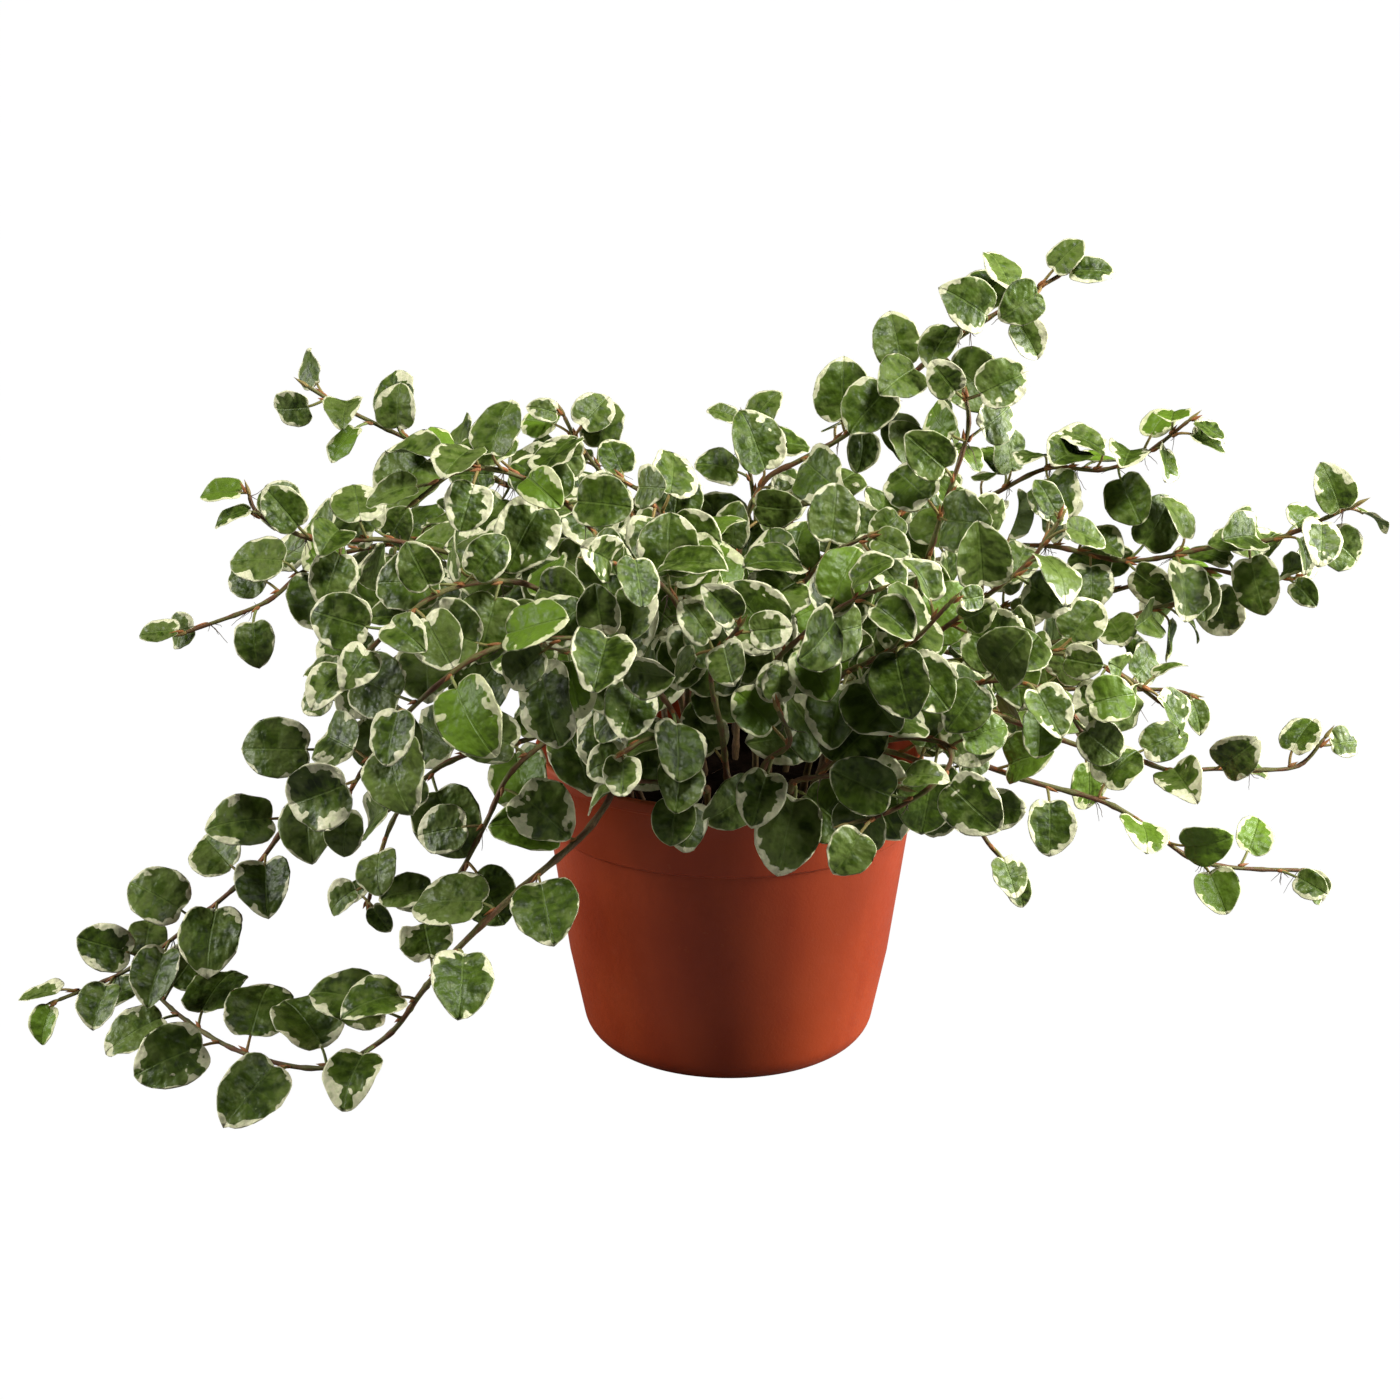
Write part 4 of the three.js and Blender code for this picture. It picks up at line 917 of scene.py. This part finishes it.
def leaf_character(leaf, shoot_name, rng):
    """What makes a leaf its own: its colours, folds and ripples."""
    light = LIGHTER if shoot_name.startswith(LIGHTER_STEMS) else DARKER
    leaf["young"] = rng.uniform(*(LIGHT_GREEN if rng.random() < light["share"] else (0, light["rest"])))
    leaf["cream"] = rng.uniform(*(NARROW_CREAM if rng.random() < NARROW_SHARE else BROAD_CREAM))
    leaf["cream"] *= min(1, leaf["length"] / FULL_CREAM)
    leaf["tone"] = rng.uniform(0, 1)
    leaf["seed"] = rng.uniform(0, 10)
    leaf["fold"] = rng.uniform(*(FOLDED if rng.random() < FOLDED_SHARE else OPEN))
    for key, span in CHARACTER.items():
        leaf[key] = rng.uniform(*span)


def nearest(line, leaf):
    """The number of the point of a stem where a leaf's stalk starts."""
    return int(np.linalg.norm(line - leaf["root"], axis=1).argmin())


def stalk_line(leaf, line):
    """From the middle of the stem to a little way under the blade's midrib."""
    start = line[nearest(line, leaf)]
    end = leaf["base"] + leaf["axis"] * STALK["past"] - leaf["normal"] * STALK["under"]
    handle = leaf["base"] - leaf["axis"] * STALK["handle"]
    t = shares(STALK["rows"])
    return (1 - t) ** 2 * start + 2 * t * (1 - t) * handle + t**2 * end


def add_leaf(piece, leaf, line, rng, cells):
    """A blade on its stalk."""
    add_blade(piece, leaf, rng, cells)
    radii = np.linspace(*STALK["radius"], STALK["rows"])
    kind = (rng.uniform(*STALK["brown"]), rng.uniform(*STALK["green"]), 0)
    tube(piece, stalk_line(leaf, line), radii, STEM_SLOT, next(cells), STALK["sides"],
         kind=kind, age=(0.8, 1), seed=leaf["seed"])


def add_sheath(piece, leaf, line, rng, cells):
    """A narrow brown sheath on the stem, at the foot of a leaf stalk."""
    index = nearest(line, leaf)
    before, after = line[max(index - 1, 0)], line[min(index + 1, len(line) - 1)]
    ahead = unit(after - before)
    out = unit(leaf["base"] - leaf["root"])
    out = unit(out - out.dot(ahead) * ahead + SHEATH["turned_up"] * leaf["normal"])
    length = rng.uniform(*SHEATH["length"])
    t = shares(len(SHEATH["radii"]))
    outward = out * (SHEATH["out"] + SHEATH["spread"] * t)
    path = line[index] + outward + ahead * (length * t - SHEATH["back"])
    tube(piece, path, SHEATH["radii"], STEM_SLOT, next(cells), SHEATH["sides"],
         kind=(rng.uniform(*SHEATH["brown"]), 0, 0), age=(0.7, 0.9), seed=leaf["seed"])


def add_tip(piece, line, rng, cells):
    """The pointed green bud at the end of a stem."""
    ahead = unit(line[-1] - line[-2])
    sag = rng.uniform(*TIP_BUD["sag"])
    t = shares(len(TIP_BUD["radii"]))
    path = line[-1] - ahead * TIP_BUD["sunk"] + (ahead * TIP_BUD["length"] + sag * t) * t
    tube(piece, path, TIP_BUD["radii"], STEM_SLOT, next(cells), TIP_BUD["sides"],
         kind=(TIP_BUD["brown"], TIP_BUD["green"], 0), age=(0.9, 1))


def add_root_hairs(piece, at, ahead, rng, cells):
    """A tuft of thin aerial roots under a joint."""
    rows = HAIRS["rows"]
    t = shares(rows)
    radii = np.linspace(*HAIRS["radius"], rows)
    for _ in range(rng.integers(*HAIRS["count"])):
        way = unit(DOWN + rng.normal(0, HAIRS["spread"], 3) + ahead * rng.uniform(*HAIRS["lean"]))
        curl = rng.normal(0, HAIRS["curl"], 3)
        length = rng.uniform(*HAIRS["length"])
        path = at + length * (way * t + curl * t**2) + rng.normal(0, HAIRS["shake"], (rows, 3)) * t
        path[:, 2] = np.maximum(path[:, 2], HAIRS["floor"])
        tube(piece, path, radii, ROOT_SLOT, next(cells), HAIRS["sides"], seed=rng.uniform(0, 9))


def add_stem(piece, line, at, rng, cells):
    """The stem itself, a little thicker at its joints."""
    length = distances(line)[-1]
    count = math.ceil(length / STEM["step"])
    reached = np.linspace(0, length, count)
    fine = along(smooth_through(line, 4), reached)
    near = np.abs(reached[:, None] - np.asarray(at)[None, :]).min(1)
    swollen = 1 + STEM["swell"] * np.exp(-((near / STEM["swell_reach"]) ** 2))
    uneven = rng.uniform(-STEM["uneven"], STEM["uneven"], count)
    radii = np.linspace(*STEM["radius"], count) * (swollen + uneven)
    radii[-1] *= STEM["end"]
    tube(piece, fine, radii, STEM_SLOT, next(cells), STEM["sides"], age=(0.1, 1.05),
         seed=rng.uniform(0, 9))


def cubes(points):
    """The small cubes that these places are in."""
    return set(map(tuple, np.floor(points / CUBE).astype(int).tolist()))


def blade_places(leaf, grow=1.0):
    """Places spread over a leaf's blade, to see whether there is room for it."""
    x, y = BLADE_X * leaf["length"] * grow, BLADE_Y * leaf["width"] * grow
    z = (FOLD * np.abs(BLADE_Y) - TIP_DROP * BLADE_X**2) * leaf["length"]
    return on_leaf(leaf, x, y, z).reshape(-1, 3)


def has_room(leaf, taken):
    """True where a leaf is over the floor, clear of the pot's front and of all that has grown."""
    places = blade_places(leaf, ROOM_MARGIN)
    before_pot = np.abs(places[:, 0]) < POT["rim"] + FILL["beside_pot"]
    lowest = np.where(before_pot, POT["height"] + FILL["over_rim"], ROOM_FLOOR)
    around = (places[:, None] + NEAR).reshape(-1, 3)
    return (places[:, 2] >= lowest).all() and taken.isdisjoint(cubes(around))


def first_fitting(draw_leaf, taken):
    """The first drawn leaf that has room, in a list, or an empty one."""
    for _ in range(FIT_TRIES):
        leaf = draw_leaf()
        if has_room(leaf, taken):
            taken.update(cubes(blade_places(leaf)))
            return [leaf]
    return []


def wobbled(facing, loose, rng):
    """A direction near the one that a shoot's leaves face."""
    return unit(unit(np.array(facing, float)) + rng.uniform(-1, 1, 3) * loose)


def fill_leaves(shoot, line, taken, rng):
    """Smaller leaves in front of the crowded stretch of a stem, turned any way."""
    found = []
    for distance in np.arange(FILL["foot"], distances(line)[-1] - FILL["end"], FILL["step"]):
        root = along(line, [distance + rng.uniform(*FILL["shift"])])[0]

        def draw_leaf():
            loose = FILL["loose"] + FILL["looser"] * shoot["loose"]
            normal = wobbled(shoot["facing"], loose, rng)
            spin = rng.normal(0, 1, 3) + FILL["hang"] * DOWN
            axis = unit(spin - spin.dot(normal) * normal)
            stalk = normal * rng.uniform(*FILL["stalk"]) + axis * rng.uniform(*FILL["reach"])
            length = shoot["leaf"] * rng.uniform(*FILL["size"])
            width = length * rng.uniform(NARROWEST, 1)
            return leaf_of(root, stalk, axis, normal, length, width, rng.uniform(-1, 1))

        inside = abs(root[0]) < FILL["bare"] and root[1] < FILL["bare_back"]
        lowest = FILL["bare_top"] if inside else FILL["lowest"]
        if root[2] > lowest and FILL["left"] < root[0] < FILL["right"]:
            found += first_fitting(draw_leaf, taken)
    return found


def tip_leaves(shoot, line, taken, rng):
    """A young leaf on either side of the end of a stem."""
    ahead = unit(line[-1] - line[-2])
    found = []
    for side in (-1, 1):

        def draw_leaf():
            normal = wobbled(shoot["facing"], YOUNGEST["loose"], rng)
            forward = unit(ahead - ahead.dot(normal) * normal)
            lean = side * rng.uniform(*YOUNGEST["lean"])
            axis = forward * math.cos(lean) + np.cross(normal, forward) * math.sin(lean)
            root = line[-1] - ahead * rng.uniform(*YOUNGEST["back"])
            stalk = axis * YOUNGEST["stalk"] + normal
            length = rng.uniform(*YOUNGEST["size"])
            width = length * rng.uniform(*YOUNGEST["width"])
            return leaf_of(root, stalk, axis, normal, length, width, rng.uniform(-1, 1))

        found += first_fitting(draw_leaf, taken)
    return found


def shoot_piece(name, number, line, leaves, at, taken):
    """A whole leafy stem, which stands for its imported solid."""
    rng = np.random.default_rng(number + 1)
    shoot = SHOOTS[name]
    leaves = leaves + fill_leaves(shoot, line, taken, rng) + tip_leaves(shoot, line, taken, rng)
    piece = Piece()
    cells = flat_cells(CELLS_A_LEAF * len(leaves) + MORE_CELLS)
    add_stem(piece, line, at, rng, cells)
    add_tip(piece, line, rng, cells)
    for leaf in leaves:
        leaf_character(leaf, name, rng)
        add_leaf(piece, leaf, line, rng, cells)
        add_sheath(piece, leaf, line, rng, cells)
        if rng.random() < HAIRS["share"]:
            add_root_hairs(piece, leaf["root"], unit(leaf["base"] - leaf["root"]), rng, cells)
    return place_piece(piece.made(f"fig_{name}", MATERIALS), name)


def place_piece(made, node):
    """A piece rides on the plant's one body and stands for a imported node."""
    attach(made, "root")
    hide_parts(node)
    return made


# Pot and peat


def turned(profile, sides):
    """Corners and faces turned from a profile of [radius, height] points, welded on the axis."""
    points, rings = [], []
    for radius, height in profile:
        if radius == 0:
            rings.append([len(points)] * sides)
            points.append((0, 0, height))
        else:
            rings.append(list(range(len(points), len(points) + sides)))
            turns = (2 * math.pi * k / sides for k in range(sides))
            points.extend((radius * math.cos(turn), radius * math.sin(turn), height) for turn in turns)
    faces = []
    for near, far in zip(rings, rings[1:]):
        for k in range(sides):
            after = (k + 1) % sides
            face = [near[k], near[after], far[after], far[k]]
            faces.append([corner for i, corner in enumerate(face) if corner != face[i - 1]])
    return points, faces


def solid(name, points, faces):
    """An object from corners in millimetres and faces."""
    mesh = bpy.data.meshes.new(name)
    mesh.from_pydata([Vector(point) * MM for point in points], [], faces)
    return linked(name, mesh)


def lathe(name, profile, sides, material):
    """A smooth object turned from a profile."""
    made = solid(name, *turned(profile, sides))
    made.data.shade_smooth()
    made.data.materials.append(material)
    return made


def arc(centre, radius, start, end, steps):
    """Points of a round stretch of a profile, angles in degrees from outward to up."""
    turns = np.radians(np.linspace(start, end, steps))
    return [(centre[0] + radius * math.cos(turn), centre[1] + radius * math.sin(turn)) for turn in turns]


def body_radius(height):
    """The radius of the pot's tapered outside."""
    return POT["base"] + POT["flare"] * height


def pot_profile():
    """Up the outside from the middle of the foot, over the lip and down the inside.
    The small numbers in it round the edges."""
    top, rim, step, collar = POT["height"], POT["rim"], POT["step"], POT["collar"]
    corner, wall, soft = POT["corner"], POT["wall"], POT["soft"]
    foot, band = POT["base"] - corner, top - POT["band"]
    outside = [
        (0, 0),
        (foot - 2, 0),
        *arc((foot, corner), corner, -90, -9, 12),
        (body_radius(30), 30),
        (body_radius(50), 50),
        (body_radius(step) - 0.1, step - soft),
        *arc((body_radius(step) + 0.4, step + 0.4), soft, -170, -100, 3),
        *arc((collar - soft, step + 0.9), soft, -70, 0, 4),
        (collar + 0.75, 84),
        (rim - 0.85, band - 0.4),
        *arc((rim - soft, band + soft), soft, -80, 0, 4),
        (rim, top - 1.2),
    ]
    lip = arc((rim - POT["lip"], top - POT["lip"]), POT["lip"], 0, 180, 10)
    inside = [
        (POT["rim_inner"], top - 2.5),
        (collar - wall + 0.2, step + 3),
        (body_radius(step) - wall, step),
        (body_radius(corner) - wall, corner),
        (foot, POT["floor"]),
        (0, POT["floor"]),
    ]
    return outside + lip + inside


def drain_cutter():
    """The drain holes as one cutting solid."""
    low, high = -DRAIN["past"], POT["floor"] + DRAIN["past"]
    pin = [(0, low), (DRAIN["radius"], low), (DRAIN["radius"], high), (0, high)]
    corners, sheets = turned(pin, DRAIN["sides"])
    points, faces = [], []
    for hole in range(DRAIN["count"]):
        turn = (hole + 0.5) * 2 * math.pi / DRAIN["count"]
        shift = Vector((math.cos(turn), math.sin(turn), 0)) * DRAIN["circle"]
        faces.extend([corner + len(points) for corner in sheet] for sheet in sheets)
        points.extend(Vector(corner) + shift for corner in corners)
    return solid("drain_cutter", points, faces)


def pot_piece():
    """The turned pot with its drain holes cut."""
    pot = lathe("pot_fine", pot_profile(), POT["sides"], pot_material())
    cutter = drain_cutter()
    cut = pot.modifiers.new("drain", "BOOLEAN")
    cut.object = cutter
    cut.operation = "DIFFERENCE"
    cut.solver = "EXACT"
    graph = bpy.context.evaluated_depsgraph_get()
    mesh = bpy.data.meshes.new_from_object(pot.evaluated_get(graph))
    pot.modifiers.clear()
    pot.data = mesh
    bpy.data.objects.remove(cutter)
    return place_piece(pot, "pot")


def peat_lift(x, y):
    """How far the lumps of the peat rise over its level."""
    return sum(lift * value_noise(x, y, seed, scale) for seed, (lift, scale) in enumerate(PEAT_LUMPS, 1))


def peat_piece():
    """A lumpy surface on a plain plug that fills the pot."""
    inset = POT["wall"] + SOIL["gap"]
    bottom = POT["floor"] + SOIL["gap"]
    edge = POT["collar"] - POT["wall"]
    plug = [
        (0, bottom),
        (POT["base"] - POT["corner"], bottom),
        (body_radius(POT["corner"]) - inset, POT["corner"]),
        (body_radius(POT["step"]) - inset, POT["step"]),
        (POT["collar"] - inset, POT["step"] + 4),
    ]
    radii = [edge * (1 - k / SOIL["rings"]) for k in range(SOIL["rings"])]
    top = [(radius, SOIL_SURFACE - SOIL["slope"] * max(0, radius - SOIL["flat_to"])) for radius in radii]
    peat = lathe("peat", plug + top + [(0, SOIL_SURFACE)], SOIL["sides"], peat_material())
    count = len(peat.data.vertices)
    places = np.zeros(count * 3)
    peat.data.vertices.foreach_get("co", places)
    places = places.reshape(-1, 3) / MM
    start = 1 + (len(plug) - 1) * SOIL["sides"]
    x, y = places[start:, 0], places[start:, 1]
    fade = np.clip((edge - np.hypot(x, y)) / SOIL["fade"], SOIL["edge_lumps"], 1)
    places[start:, 2] += peat_lift(x, y) * fade
    peat.data.vertices.foreach_set("co", (places * MM).ravel())
    peat.data.update()
    return place_piece(peat, "soil")


def stage_floor():
    """A plain pale floor, bright to the eye and less so to the plant."""
    n = Nodes("studio_floor")
    n.finish(Base_Color=FLOOR_GREY, Roughness=1.0, Specular_IOR_Level=0.0)
    glow = n.put("ShaderNodeEmission", {"Color": WHITE, "Strength": FLOOR["glow"]}).outputs[0]
    seen = n.times(n.put("ShaderNodeLightPath").outputs["Is Camera Ray"], FLOOR["glow_share"])
    mixed = n.put("ShaderNodeMixShader", {0: seen, 1: n.shader.outputs[0], 2: glow}).outputs[0]
    n.tree.links.new(mixed, n.tree.nodes["Material Output"].inputs[0])
    mesh = bpy.data.meshes.new("studio_floor")
    far = FLOOR["reach"]
    mesh.from_pydata([(-far, -far, 0), (far, -far, 0), (far, far, 0), (-far, far, 0)], [], [(0, 1, 2, 3)])
    mesh.materials.append(n.material)
    floor = linked("studio_floor", mesh)
    floor.location.z = -FLOOR["drop"]


# Light and camera


def add_light(name, at, size, power):
    """A rectangular lamp that shines towards the plant."""
    data = bpy.data.lights.new(name, "AREA")
    data.shape = "RECTANGLE"
    data.size, data.size_y = size
    data.energy = power
    light = linked(name, data)
    light.location = at
    light.rotation_euler = (Vector(LIT_PLACE) - Vector(at)).to_track_quat("-Z", "Y").to_euler()


def add_world():
    """White to the eye and almost dark to the plant."""
    world = bpy.data.worlds.new("studio")
    bpy.context.scene.world = world
    world.use_nodes = True
    tree = world.node_tree
    back = tree.nodes["Background"]
    back.inputs["Color"].default_value = WHITE
    seen = tree.nodes.new("ShaderNodeLightPath").outputs["Is Camera Ray"]
    strength = tree.nodes.new("ShaderNodeMapRange")
    strength.inputs["To Min"].default_value = WORLD_LIGHT
    strength.inputs["To Max"].default_value = 1.0
    tree.links.new(seen, strength.inputs["Value"])
    tree.links.new(strength.outputs[0], back.inputs["Strength"])


def add_camera():
    """The photo's camera, as the ellipses of the pot give it."""
    data = bpy.data.cameras.new("camera")
    data.lens = CAMERA["lens"]
    data.sensor_width = CAMERA["sensor"]
    data.sensor_fit = "HORIZONTAL"
    camera = linked("camera", data)
    camera.location = CAMERA["at"]
    camera.rotation_euler = (math.radians(90 - CAMERA["pitch"]), 0, math.radians(CAMERA["yaw"]))
    bpy.context.scene.camera = camera


add_camera()
add_world()
for light_name, light in LIGHTS.items():
    add_light(light_name, **light)
bpy.context.scene.view_settings.view_transform = "Standard"
stage_floor()
pot_piece()
peat_piece()
lines = bend_clear([smooth_line(shoot) for shoot in SHOOTS.values()])
grown = [grown_leaves(name, number, lines[number]) for number, name in enumerate(SHOOTS)]
taken = set()
for line, (leaves, _) in zip(lines, grown):
    taken |= cubes(along(line, np.arange(0, distances(line)[-1], 1)))
    for leaf in leaves:
        taken |= cubes(blade_places(leaf))
for number, name in enumerate(SHOOTS):
    shoot_piece(name, number, lines[number], *grown[number], taken)
